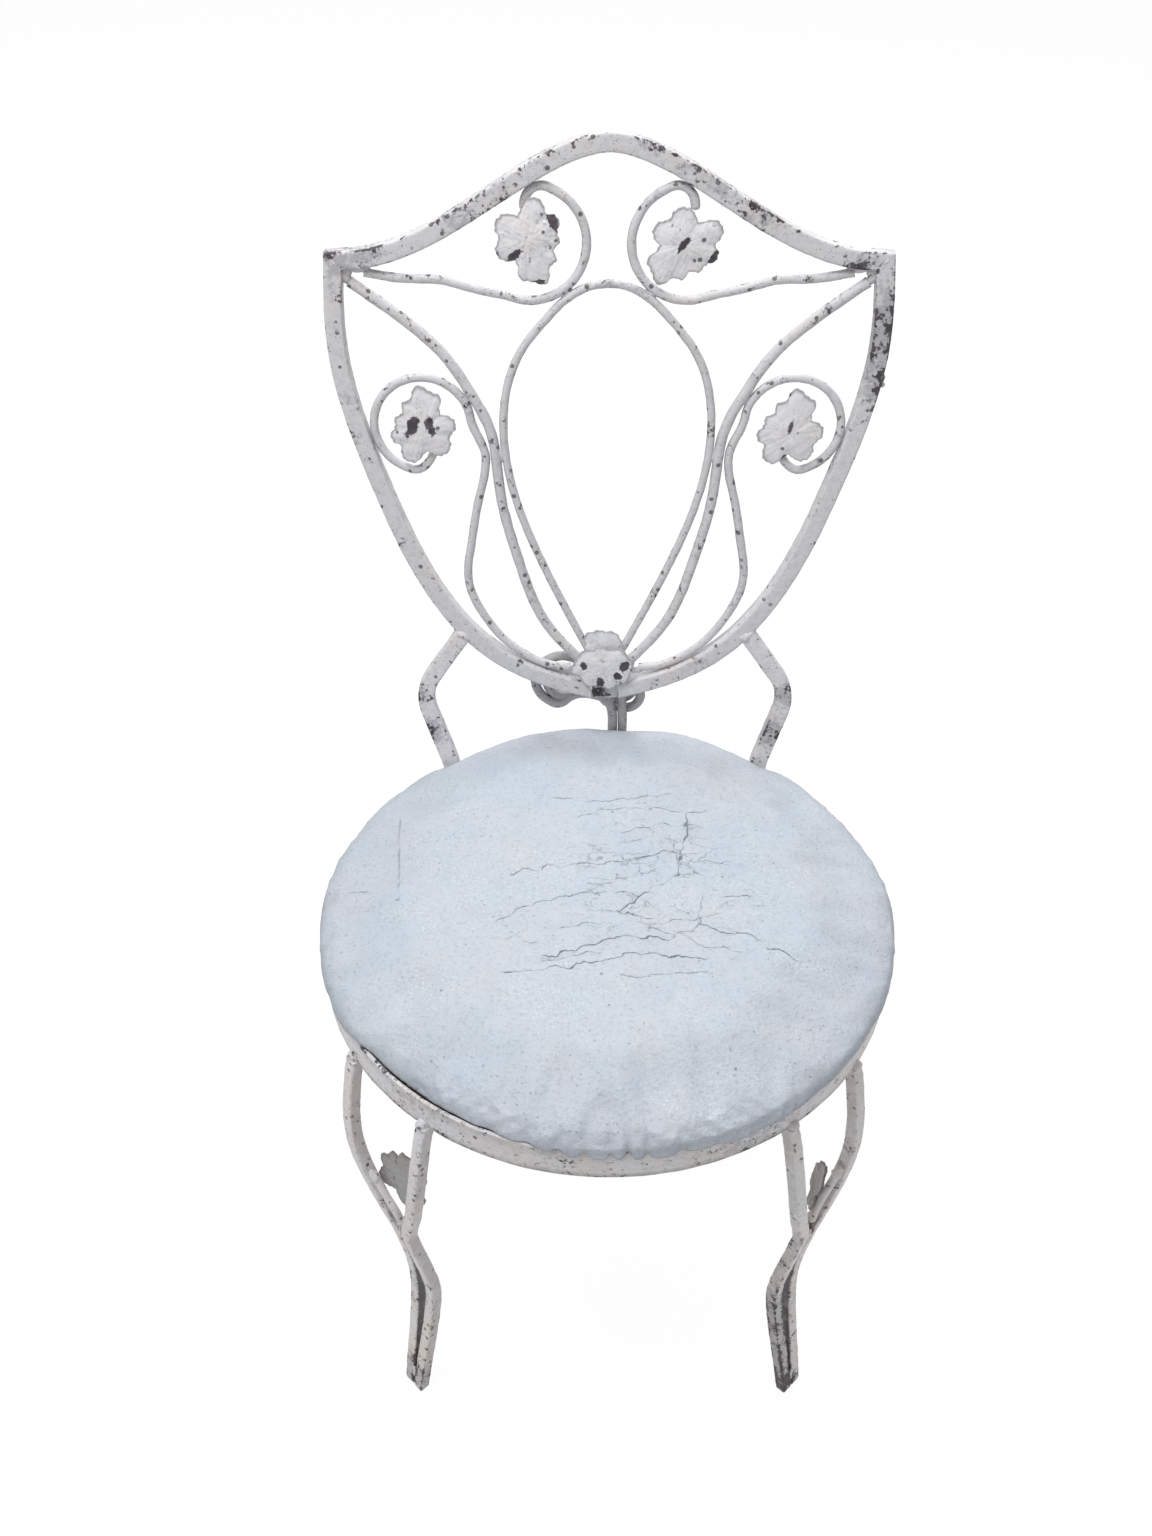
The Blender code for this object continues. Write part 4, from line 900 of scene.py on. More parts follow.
def cracked_vinyl():
    """Pale vinyl: cracks lie where the distance to the drawn lines, made ragged by noise, is small; a finer
    net of cell edges, rubbed patches and specks come from noise; the grain is a fine bump."""
    colours = bpy.context.scene.chair_colours
    s = Shader("cracked_vinyl")
    mottle, grain = s.noise(17, 5, 0.65), s.noise(380, 4, 0.65)
    wobble = s.times(s.minus(s.noise(420, 3, 0.6), 0.5), 0.0010)
    ragged = s.math("ABSOLUTE", s.plus(s.value("crack_side"), wobble))
    opened = s.times(s.value("crack_open"), s.patches(75, 3, 0.6, 0.36, 0.60, 0.30, 1.0))
    line = s.step(s.math("DIVIDE", ragged, s.times(opened, 0.00050)), 1.25, 0.45)
    line = s.times(s.times(line, s.step(s.value("crack_near"), 0.0024, 0.0018)), s.step(opened, 0.10, 0.55))
    bent = s.warped(s.stretched((0.62, 1.5, 1.0)), 130, 0.012)
    net = s.step(s.cells(70, "DISTANCE_TO_EDGE", bent), 0.030, 0.008)
    zone = s.times(s.step(s.value("crack_zone"), 0.20, 0.90), s.patches(42, 4, 0.65, 0.50, 0.58))
    net = s.times(s.times(net, zone), 0.55)
    scratch = s.step(s.plus(s.value("scratch"), s.times(wobble, 0.25)), 0.0013, 0.0002)
    specks = s.times(s.step(s.cells(170), 0.17, 0.08), s.patches(21, 3, 0.5, 0.44, 0.58))
    dots = s.times(s.step(s.cells(42), 0.060, 0.032), 0.9)
    base = s.mix(s.step(mottle, 0.34, 0.68), colours.vinyl, colours.vinyl_worn)
    violet = s.times(s.math("POWER", s.value("outer"), 2.0), s.patches(11, 3, 0.5, 0.35, 0.65))
    base = s.mix(s.times(violet, 0.50), base, (0.60, 0.59, 0.69))
    base = s.mix(s.times(s.patches(75, 5, 0.7, 0.38, 0.72), 0.16), base, toned(colours.vinyl, 0.70))
    base = s.mix(s.times(s.step(grain, 0.50, 0.68), 0.42), base, toned(colours.vinyl, 0.62))
    # painted shade at the pad's rim and in its tucks, from the rim value
    base = s.mix(s.times(s.value("rim"), 0.50), base, toned(colours.vinyl, 0.62))
    scuff = s.times(s.patches(620, 3, 0.7, 0.55, 0.64), s.patches(14, 3, 0.6, 0.46, 0.60))
    base = s.mix(s.times(scuff, 0.55), base, (0.86, 0.88, 0.90))
    dark = s.most(s.most(s.times(line, 0.86), net), s.most(s.times(specks, 0.50), s.times(dots, 0.65)))
    dark = s.most(dark, s.times(scratch, 0.45))
    relief = s.bump(s.noise(110, 4, 0.6), 0.28, 0.0014, s.bump(grain, 0.80, 0.0010))
    return s.finish(s.mix(dark, base, colours.crack), s.step(mottle, 0.3, 0.7, 0.50, 0.62),
                    s.bump(s.minus(1.0, s.most(line, net)), 0.8, 0.0007, relief))


def bare_plywood():
    """Long streaks of noise for the grain, darker pores, and a bump from both."""
    wood = bpy.context.scene.chair_colours.wood
    s = Shader("bare_plywood")
    grain = s.noise(60, 6, 0.6, s.stretched((0.12, 1.6, 1.0)), 1.2)
    pores = s.noise(420, 3, 0.7, s.stretched((0.10, 1.5, 1.0)))
    base = s.mix(s.step(grain, 0.35, 0.65), toned(wood, 0.75), toned(wood, 1.3))
    base = s.mix(s.times(s.step(pores, 0.58, 0.75), 0.5), base, toned(wood, 0.35))
    return s.finish(base, 0.78, s.bump(s.plus(grain, pores), 0.3, 0.0006))


def iron(name="chipped_paint"):
    """One of the paints, made when it is first asked for."""
    return bpy.data.materials.get(name) or painted_iron(name, *PAINTS[name])


# The iron pieces

def iron_piece(name, line, section, where, seed, on_back=True, planes=(), dome=(False, False), coat=None,
               shade_strength=1.0):
    """A bar or rod in place of its solid, with its wear, and its painted shade: high where the skin faces
    square to the frame's front or down, low where it faces up."""
    lumps = bpy.context.scene.chair_sizes.paint_lumps
    verts, faces, edge = swept(line, section, where, planes, lumps, seed, dome)
    wear = wear_on_back(verts) if on_back else leg_wear(verts)
    if name in BARE_FOOT:
        amount, below, fade = BARE_FOOT[name]
        wear += amount * np.clip((below - verts[:, 2]) / fade, 0, 1)
    made = piece(name, verts, faces, edge, iron(coat or ("chipped_paint" if on_back else "leg_paint_with_painted_light")), wear,
                 nodes=(name,))
    normal = read_points(made.data, "normal")
    turn = where.to_3x3()
    front = np.array(SHIELD_OUT) if on_back else np.array(turn @ Vector((1, 0, 0)))
    # painted shade: a value that is high on faces turned aside from the front or turned down
    aside = np.exp(-((normal @ front) / 0.52) ** 2) * np.clip(0.85 - 1.2 * normal[:, 2], 0, 1) * shade_strength
    if not on_back:
        # between the two bars of a leg, below the point where they meet, the painted shade is darkest;
        # elsewhere on the legs it is weaker
        points = read_points(made.data)
        side = np.sign(moved(points, where.inverted())[:, 2])
        between = side * (normal @ np.array(turn @ Vector((0, 0, 1)))) < -0.3
        low = points[:, 2] < RING_UNDERSIDE - LEG_MEET + 0.020
        aside = np.where(between & low, 2.2, 0.45) * aside
    write_values(made.data, aside=aside)


def bar_piece(name, line, width, where, seed, **more):
    """A square bar, its edges a little sharper on the thin ones."""
    ease = bpy.context.scene.chair_sizes.bar_ease
    iron_piece(name, line, bar_section(width, ease if width > 0.011 else ease * 0.85), where, seed, **more)


def rod_piece(name, line, thickness, where, seed, coat="rod_paint", **more):
    """A round rod, with stronger painted shade on its sides and underside than the bars."""
    iron_piece(name, line, rod_section(thickness), where, seed, coat=coat, shade_strength=1.5, **more)


def leg_wear(points):
    """Bare patches at the knees and where the bars meet, from three bands of height."""
    z = points[:, 2]
    total = sum(amount * np.exp(-((z - level) / reach) ** 2) for level, reach, amount in LEG_WORN)
    right = np.exp(-((points[:, 0] - 0.12) ** 2 + (points[:, 1] + 0.15) ** 2 + (z - 0.15) ** 2) / 0.06 ** 2)
    return total * (0.6 + 0.4 * ripple(points, 0.05, 11)) + 0.5 * right


def turned(profile, steps, centre):
    """Closed profile of (radius, height) turned about the upright axis through the centre."""
    angle = np.arange(steps) / steps * 2 * pi
    r = profile[:, 0][None]
    verts = np.stack([centre[0] + r * np.cos(angle)[:, None], centre[1] + r * np.sin(angle)[:, None],
                      centre[2] + np.repeat(profile[:, 1][None], steps, 0)], -1).reshape(-1, 3)
    return verts, quads(steps, len(profile), True, True)


class CHAIR_OT_ring(bpy.types.Operator):
    """Round seat ring with worn edges, and its four rest tabs"""
    bl_idname = "chair.ring"
    bl_label = "Seat ring"

    def execute(self, context):
        half, tall, ease, steps = RING_WALL / 2, RING_HEIGHT / 2, RING_EASE, RING_STEPS
        corners = []
        turn = np.radians(np.linspace(0, 90, 4))
        for k, (sx, sy) in enumerate(((1, 1), (-1, 1), (-1, -1), (1, -1))):
            corners += [(RING_RADIUS - half + sx * (half - ease) + ease * cos(a),
                         tall + sy * (tall - ease) + ease * sin(a)) for a in turn + k * pi / 2]
            if k % 2:
                level = np.linspace(-sy, sy, 6)[1:-1] * (tall - ease)
                corners += [(RING_RADIUS - half + sx * half, tall - v) for v in level[::-1]]
        profile = np.array(corners)
        off = (profile - profile.mean(0)) / (RING_WALL, RING_HEIGHT)
        profile = profile[np.argsort(np.arctan2(off[:, 1], off[:, 0]))]
        verts, faces = turned(profile, steps, (0, SEAT_Y, RING_UNDERSIDE))
        height = np.tile(profile[:, 1], steps)
        edge = np.exp(-((height - RING_HEIGHT) / 0.003) ** 2) + np.exp(-(height / 0.003) ** 2)
        radial = verts - (0, SEAT_Y, 0)
        radial[:, 2] = 0
        radial /= np.linalg.norm(radial, axis=1, keepdims=True)
        outer = np.tile((profile[:, 0] > RING_RADIUS - half).astype(float), steps)
        lumps = context.scene.chair_sizes.paint_lumps
        verts = verts + radial * (outer * lumps * (ripple(verts, 0.022, 5) * 0.9 - 0.3))[:, None]
        angle = np.degrees(np.arctan2(radial[:, 1], radial[:, 0]))
        worn = sum(amount * np.exp(-((angle - at) / reach) ** 2) for at, reach, amount in RING_WORN)
        made = piece("seat_ring", verts, faces, edge * 0.75, iron("ring_paint"), worn, nodes=("seat_ring",))
        # painted shade: a dark band along the ring's bottom edge and another just under the pad's lip
        rise = read_points(made.data)[:, 2] - RING_UNDERSIDE
        write_values(made.data, aside=1.2 * np.exp(-(rise / 0.0020) ** 2)
                     + 0.8 * np.exp(-((rise - RING_HEIGHT + 0.0030) / 0.0026) ** 2))
        for side in ("front", "right", "rear", "left"):
            name = "seat_rest_tab_" + side
            lowest, highest = np.array(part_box(name))
            reach = highest - lowest
            along = 0 if reach[0] > reach[1] else 1
            line = np.stack([np.linspace(-0.5, 0.5, 9) * reach[along], np.zeros(9), np.zeros(9)], 1)
            where = Matrix.Translation((lowest + highest) / 2) @ Matrix.Rotation(along * pi / 2, 4, "Z")
            tab = swept(line, bar_section(1.0, TAB_EASE) * (reach[1 - along], reach[2], 1.0), where)
            piece(name, *tab, iron(), np.zeros(len(tab[0])), nodes=(name,))
        return {"FINISHED"}


class CHAIR_OT_shield(bpy.types.Operator):
    """Square-bar shield: top rail, two side bars mitred to it, and the tie plate"""
    bl_idname = "chair.shield"
    bl_label = "Shield frame"

    def execute(self, context):
        step = context.scene.chair_sizes.path_step
        flat = shield_frame()

        def clear_of_ends(line, first, last):
            along = arc_length(line)
            kept = np.ones(len(line), bool)
            kept[1:-1] = (along[1:-1] > first) & (along[1:-1] < along[-1] - last)
            return line[kept]

        rail = clear_of_ends(spaced(rail_line(), step), 1.2 * BAR, 1.2 * BAR)
        bar_piece("back_top_rail", rail, BAR, flat, 21,
                  planes=((0, (-HALF_WIDTH, SHOULDER, 0), (-1, -1, 0)),
                          (-1, (HALF_WIDTH, SHOULDER, 0), (1, -1, 0))))
        for name, hand in HANDS:
            side = clear_of_ends(spaced(side_line(), step) * (hand, 1), 1.2 * BAR, BAR)
            bar_piece("back_side_" + name, side, BAR, flat, 22 + hand,
                      planes=((0, (hand * HALF_WIDTH, SHOULDER, 0), (-hand, 1, 0)),
                              (-1, (hand * (FRAME_END + JOIN / 2), TIP_V, 0), (-hand, 0, 0))))
        self.tie_plate()
        return {"FINISHED"}

    def tie_plate(self):
        """Flat plate: rows run from the round hole out to the rectangle, on the front, edge and back."""
        count = 48
        angle = np.arange(count) / count * 2 * pi
        ray = np.stack([np.cos(angle), np.sin(angle)], 1)
        centre = np.array(TIE_HOLE_AT)
        hole = centre + ray * TIE_HOLE / 2
        half = np.array([FRAME_END - JOIN / 2, TIE_HEIGHT / 2])
        with np.errstate(divide="ignore"):
            reach = np.abs(np.where(ray > 0, (half - centre) / ray, (-half - centre) / ray))
        rim = centre + ray * np.minimum(reach[:, 0], reach[:, 1])[:, None]
        thick, swollen = TIE_SHEET / 2, TIE_SHEET / 2 + 0.0003
        levels = ((0, -thick), (0, thick), (0.12, swollen), (0.9, swollen), (1, thick), (1, -thick),
                  (0.9, -swollen), (0.12, -swollen))
        grid = np.array([np.hstack([hole * (1 - share) + rim * share, np.full((count, 1), n)])
                         for share, n in levels])
        verts = moved(grid.reshape(-1, 3), shield_frame() @ Matrix.Translation((0, TIP_V, 0)))
        off = np.linalg.norm(grid[..., :2] - centre, axis=-1).ravel()
        piece("back_tie_plate", verts, quads(len(grid), count, True), np.full(len(verts), 0.3), iron(),
              0.3 + 4.5 * np.exp(-(off / 0.0030) ** 2), smooth=40, nodes=("back_tie_plate",))


class CHAIR_OT_rods(bpy.types.Operator):
    """Round rods of the back: the oval, two sweeps, four scrolls and the two rear scrolls"""
    bl_idname = "chair.rods"
    bl_label = "Back rods"

    def execute(self, context):
        step = context.scene.chair_sizes.path_step
        flat = shield_frame()
        rod_piece("back_oval", spaced(oval_line(), step), OVAL_ROD, flat, 31)
        pairs = (("back_sweep_", sweep_line(), SWEEP_ROD, (False, False), 32),
                 ("upper_scroll_", upper_scroll_line(), SCROLL_ROD, (False, True), 35),
                 ("lower_scroll_", lower_scroll_line(), SCROLL_ROD, (True, False), 38))
        for name, hand in HANDS:
            for title, line, rod, dome, seed in pairs:
                rod_piece(title + name, spaced(line, step) * (hand, 1), rod, flat, seed + hand, dome=dome)
        self.rear_scrolls(step)
        return {"FINISHED"}

    def rear_scrolls(self, step):
        """Two rods that rise side by side from the ring, bend round the frame's tip and curl inwards."""
        behind = -touching(BAR, SWEEP_ROD)
        flat = shield_frame()
        back = SEAT_Y + RING_RADIUS + SWEEP_ROD / 2 + JOIN
        down, up = (flat.inverted() @ Vector((0, back, z)) for z in (RING_UNDERSIDE, RING_TOP))
        left_x, right_x = (STEM_MIDDLE + hand * (SWEEP_ROD + JOIN) / 2 for hand in (-1, 1))
        left, right = ([(x, down.y, down.z), (x, up.y, up.z), (x, -0.030, behind - STEM_BACK)]
                       for x in (left_x, right_x))
        left += [(left_x - 0.0045, -0.0135, behind), (-0.0130, -0.0075, behind), (-0.0265, -0.0095, behind)]
        left += [(x, v, behind) for x, v in arc(LEFT_CURL[:2], LEFT_CURL[2], -98, -330, 9)]
        left += [(x, v, behind - 0.0015) for x, v in spiral(LEFT_CURL, 0.88, 0.40, -360, -640, 10)]
        right += [(right_x, -0.004, behind), (right_x + 0.0048, 0.0085, behind)]
        layers = (0, 0, -0.0022, -0.0064, -0.0098, *(-REAR_LAYER,) * 4)
        right += [(x, v, behind + layer) for (x, v), layer in
                  zip(arc(RIGHT_CURL[:2], RIGHT_CURL[2], 22, -236, 8), layers)]
        right += [(x, v, behind - REAR_LAYER) for x, v in spiral(RIGHT_CURL, 0.86, 0.46, -268, -500, 8)]
        for name, line, seed in (("left", left, 41), ("right", right, 42)):
            rod_piece("rear_scroll_" + name, spaced(fine_curve(line), step), SWEEP_ROD, flat, seed,
                      coat="rear_paint_with_painted_shade", dome=(False, True))


def post_line(hand):
    """The post's path: up from the ring, a wide bend, out to the elbow, a tight bend, in to the frame."""
    side = side_line()
    meet = side[int(np.argmin(np.abs(side[:, 1] - SHOULDER * POST_MEETS)))]
    seat = Vector((0, SEAT_Y, RING_UNDERSIDE))
    out = RING_RADIUS + BAR / 2
    foot = seat + Vector((hand * out * sin(POST_FOOT_ANGLE), out * cos(POST_FOOT_ANGLE), 0))
    head = foot + Vector((0, 0, RING_HEIGHT * 0.9))
    elbow = seat + Vector((hand * POST_ELBOW[0] * RING_RADIUS, POST_ELBOW[1] * RING_RADIUS, ELBOW_HEIGHT))
    end = shield_frame() @ Vector((hand * meet[0], meet[1], 0))
    end -= (end - elbow).normalized() * (BAR * 0.42)
    path = [foot, *rounded(foot, head, elbow, HEAD_BEND), *rounded(head, elbow, end, POST_BEND), end]
    across = (elbow - head).cross(end - elbow).normalized() * hand
    if across.y > 0:
        across = -across
    up = Vector((0, 0, 1))
    up = (up - across * up.dot(across)).normalized()
    where = frame_matrix(elbow, up.cross(across).normalized(), up, across)
    return moved([tuple(p) for p in path], where.inverted()), where


class CHAIR_OT_posts(bpy.types.Operator):
    """Two bent square posts between the seat ring and the shield"""
    bl_idname = "chair.posts"
    bl_label = "Back posts"

    def execute(self, context):
        step = context.scene.chair_sizes.path_step
        for name, hand in HANDS:
            line, where = post_line(hand)
            bar_piece("back_post_" + name, spaced(line, step), BAR, where, 51 + hand)
        return {"FINISHED"}


class CHAIR_OT_legs(bpy.types.Operator):
    """Four legs, each of two square bars that meet, part at the knee and meet again, and a stem"""
    bl_idname = "chair.legs"
    bl_label = "Legs"

    def execute(self, context):
        step = context.scene.chair_sizes.path_step
        for number, (place, azimuth, outer, wide, stem, _) in enumerate(LEGS):
            where = leg_frame(azimuth)
            name = "leg_" + place
            for title, across, top in (("_inner_bar", -outer, LEG_SPREAD), ("_outer_bar", outer, wide)):
                line = spaced(leg_line(across, top, step), step)
                bar_piece(name + title, line, LEG_BAR, where, 60 + number * 3 + across, on_back=False,
                          dome=(False, True))
            rod_piece(name + "_stem", spaced(leg_stem_line(stem, wide, outer), step), STEM_ROD, where,
                      80 + number, coat="leg_paint_with_painted_light", on_back=False, dome=(True, True))
        return {"FINISHED"}


# Leaves

def leaf_reach(angle):
    """Distance from the leaf's middle to the edge of the union of its body and lobes, its notches eased."""
    reach = np.full(len(angle), LEAF_BODY)
    for x, y, radius in LEAF_LOBES:
        out = sqrt(x * x + y * y)
        off = angle - atan2(y, x)
        inside = radius ** 2 - (out * np.sin(off)) ** 2
        found = out * np.cos(off) + np.sqrt(np.maximum(inside, 0))
        reach = np.where((inside >= 0) & (np.cos(off) > 0), np.maximum(reach, found), reach)
    weight = {k: 1 + cos(pi * k / 11) for k in range(-10, 11)}
    blur = sum(np.roll(reach, k) * w for k, w in weight.items()) / sum(weight.values())
    crinkle = 0.00030 * (np.sin(angle * 23 + 1) + np.sin(angle * 37 + 2))
    return np.maximum(reach, blur - 0.0003) + crinkle - 0.0004


def oval_reach(angle, half, power):
    """Distance to the edge of |x / a|^power + |y / b|^power = 1."""
    x = np.abs(np.cos(angle) / half[0]) ** power
    y = np.abs(np.sin(angle) / half[1]) ** power
    return (x + y) ** (-1 / power)


def bud_reach(angle):
    """Rounded rectangle with a crinkled edge."""
    crinkle = 0.0005 * np.sin(angle * 7 + 1)
    return oval_reach(angle, BUD_HALF, BUD_POWER) + crinkle + 0.0004 * np.sin(angle * 13)


def tip_reach(angle):
    """The stamping's edge, filled out to a wide oval with eight shallow lobes."""
    filled = oval_reach(angle, TIP_HALF, TIP_POWER) + 0.0010 * np.sin(angle * 8 + 1)
    return np.maximum(leaf_reach(angle) * TIP_LEAF[3] - 0.0012, filled)


def leaf_mesh(scale, crown, bare, seed, bulge=1.0, reach=None):
    """Polar sheet. Front height = crown * (1 - s^1.8) + a low pillow in each lobe - a vein along each lobe's
    middle line + a raised rim; the back lies a sheet's thickness behind; the edge between is a half round."""
    turns, rings = 192, 22
    angle = np.arange(turns) / turns * 2 * pi
    reach = reach(angle) if reach else leaf_reach(angle) * scale
    share = np.linspace(0, 1, rings + 1)[1:]
    r = reach[None] * share[:, None]
    x = r * np.cos(angle)
    y = r * np.sin(angle)
    front = crown * (1 - share[:, None] ** 1.8) + np.zeros_like(r)
    for lx, ly, radius in LEAF_LOBES:
        lx, ly, radius = lx * scale, ly * scale, radius * scale
        out = sqrt(lx * lx + ly * ly)
        along = (x * lx + y * ly) / out
        across = np.abs(-x * ly + y * lx) / out
        away = ((x - lx) ** 2 + (y - ly) ** 2) / radius ** 2
        front += bulge * 0.00022 * np.exp(-away * 1.3)
        vein = np.exp(-(across / (0.00055 * scale)) ** 2) * ((along > 0) & (along < out + radius * 0.45))
        front -= bulge * 0.00020 * vein * np.clip(along / out * 2, 0, 1) * (1.1 - share[:, None])
    flat = np.stack([x, y, np.zeros_like(x)], -1).reshape(-1, 3)
    front += 0.00045 * ripple(flat, 0.014, seed).reshape(front.shape)
    front += 0.00018 * ripple(flat, 0.004, seed + 3).reshape(front.shape)
    front += 0.00040 * np.exp(-((1 - share[:, None]) * r[-1] / 0.0011) ** 2)
    top = np.stack([x, y, front + LEAF_SHEET], -1)
    curl = np.stack([x[-1] + np.cos(angle) * 0.0004, y[-1] + np.sin(angle) * 0.0004,
                     np.full(turns, LEAF_SHEET * 0.45) + front[-1] * 0.5], -1)[None]
    under = np.stack([x, y, np.minimum(front, crown) * 0.85], -1)[::-1]
    grid = np.concatenate([top, curl, under])
    verts = np.vstack([grid.reshape(-1, 3), [[0, 0, crown + LEAF_SHEET], [0, 0, crown * 0.85]]])
    faces = quads(len(grid), turns, back=True) + poles(len(grid), turns, back=True)
    rim = np.concatenate([share ** 8, [1.0], share[::-1] ** 8])
    edge = np.concatenate([np.repeat(rim, turns), [0, 0]]) * 0.8
    worn = np.zeros(len(verts))
    for bx, by, half_long, half_wide, turn in bare:
        dx, dy = verts[:, 0] - bx * scale, verts[:, 1] - by * scale
        along, across = dx * cos(turn) + dy * sin(turn), -dx * sin(turn) + dy * cos(turn)
        away = np.sqrt((along / half_long) ** 2 + (across / half_wide) ** 2)
        worn = np.maximum(worn, 4.6 * np.clip(1.5 - away, 0, 1))
    return verts, faces, edge, worn


class CHAIR_OT_leaves(bpy.types.Operator):
    """Stamped leaves: four on the back scrolls, a leaf and a bud over the tip, and one on each leg"""
    bl_idname = "chair.leaves"
    bl_label = "Leaves"

    def execute(self, context):
        rods = shield_frame(SCROLL_ROD / 2 + JOIN)
        for number, (name, (x, v), turn) in enumerate(BACK_LEAVES):
            self.leaf(name, rods @ Matrix.Translation((x, v, 0)), turn, 1.0, LEAF_CROWN, 90 + number)
        for name, (x, v, turn, scale), n, crown in (("tip_leaf", TIP_LEAF, BAR / 2 + JOIN, LEAF_CROWN),
                                                    ("tip_bud", TIP_BUD, SWEEP_ROD / 2 + JOIN, 0.0008)):
            self.leaf(name, shield_frame(n) @ Matrix.Translation((x, v, 0)), turn, scale, crown, 95)
        profile = leg_profile()
        for place, azimuth, outer, _, _, (drop, aside, tilt, turn, spin, scale) in LEGS:
            out = RING_RADIUS - LEG_BAR / 2 + np.interp(drop, profile[:, 1], profile[:, 0])
            out = out - LEAF_INWARD[place]
            at = leg_frame(azimuth) @ Matrix.Translation((out, RING_UNDERSIDE - drop, outer * aside))
            at = at @ Matrix.Rotation(radians(-outer * turn), 4, "Y") @ Matrix.Rotation(radians(tilt), 4, "Z")
            at = at @ Matrix.Rotation(radians(90), 4, "Y")
            self.leaf("leg_" + place + "_leaf", at, outer * spin, scale, LEAF_CROWN, 97)
        return {"FINISHED"}

    def leaf(self, name, where, turn, scale, crown, seed):
        reach = {"tip_bud": bud_reach, "tip_leaf": tip_reach}.get(name)
        verts, faces, edge, worn = leaf_mesh(scale, crown, LEAF_BARE.get(name, ()), seed,
                                             0.4 if name == "tip_bud" else 1.0, reach)
        verts[:, :2] += SHIFTS.get(name, (0, 0))
        verts = moved(verts, where @ Matrix.Rotation(radians(turn), 4, "Z"))
        coat = iron("leg_leaf_paint_with_painted_shade" if name.startswith("leg_") else "leaf_paint")
        piece(name, verts, faces, edge, coat, worn, smooth=60, nodes=(name,), slot="painted_leaf")


# Welds

def blob(at, along, size, seed):
    """Ellipsoid with its long axis along a direction, its skin moved by the ripple."""
    rows, columns = 12, 18
    tilt = np.linspace(0, pi, rows)[1:-1]
    angle = np.arange(columns) / columns * 2 * pi
    unit = np.stack([np.sin(tilt)[:, None] * np.cos(angle), np.sin(tilt)[:, None] * np.sin(angle),
                     np.repeat(np.cos(tilt)[:, None], columns, 1)], -1).reshape(-1, 3)
    unit = np.vstack([unit, [[0, 0, 1], [0, 0, -1]]])
    along = Vector(along).normalized()
    spin = np.array(along.to_track_quat("Z", "Y").to_matrix())
    local = unit * np.array(size) * (1 + 0.16 * ripple(unit * 0.01 + np.array(at), 0.012, seed))[:, None]
    verts = local @ spin.T + np.array(at)
    return verts, quads(rows - 2, columns) + poles(rows - 2, columns), np.full(len(verts), 0.35)


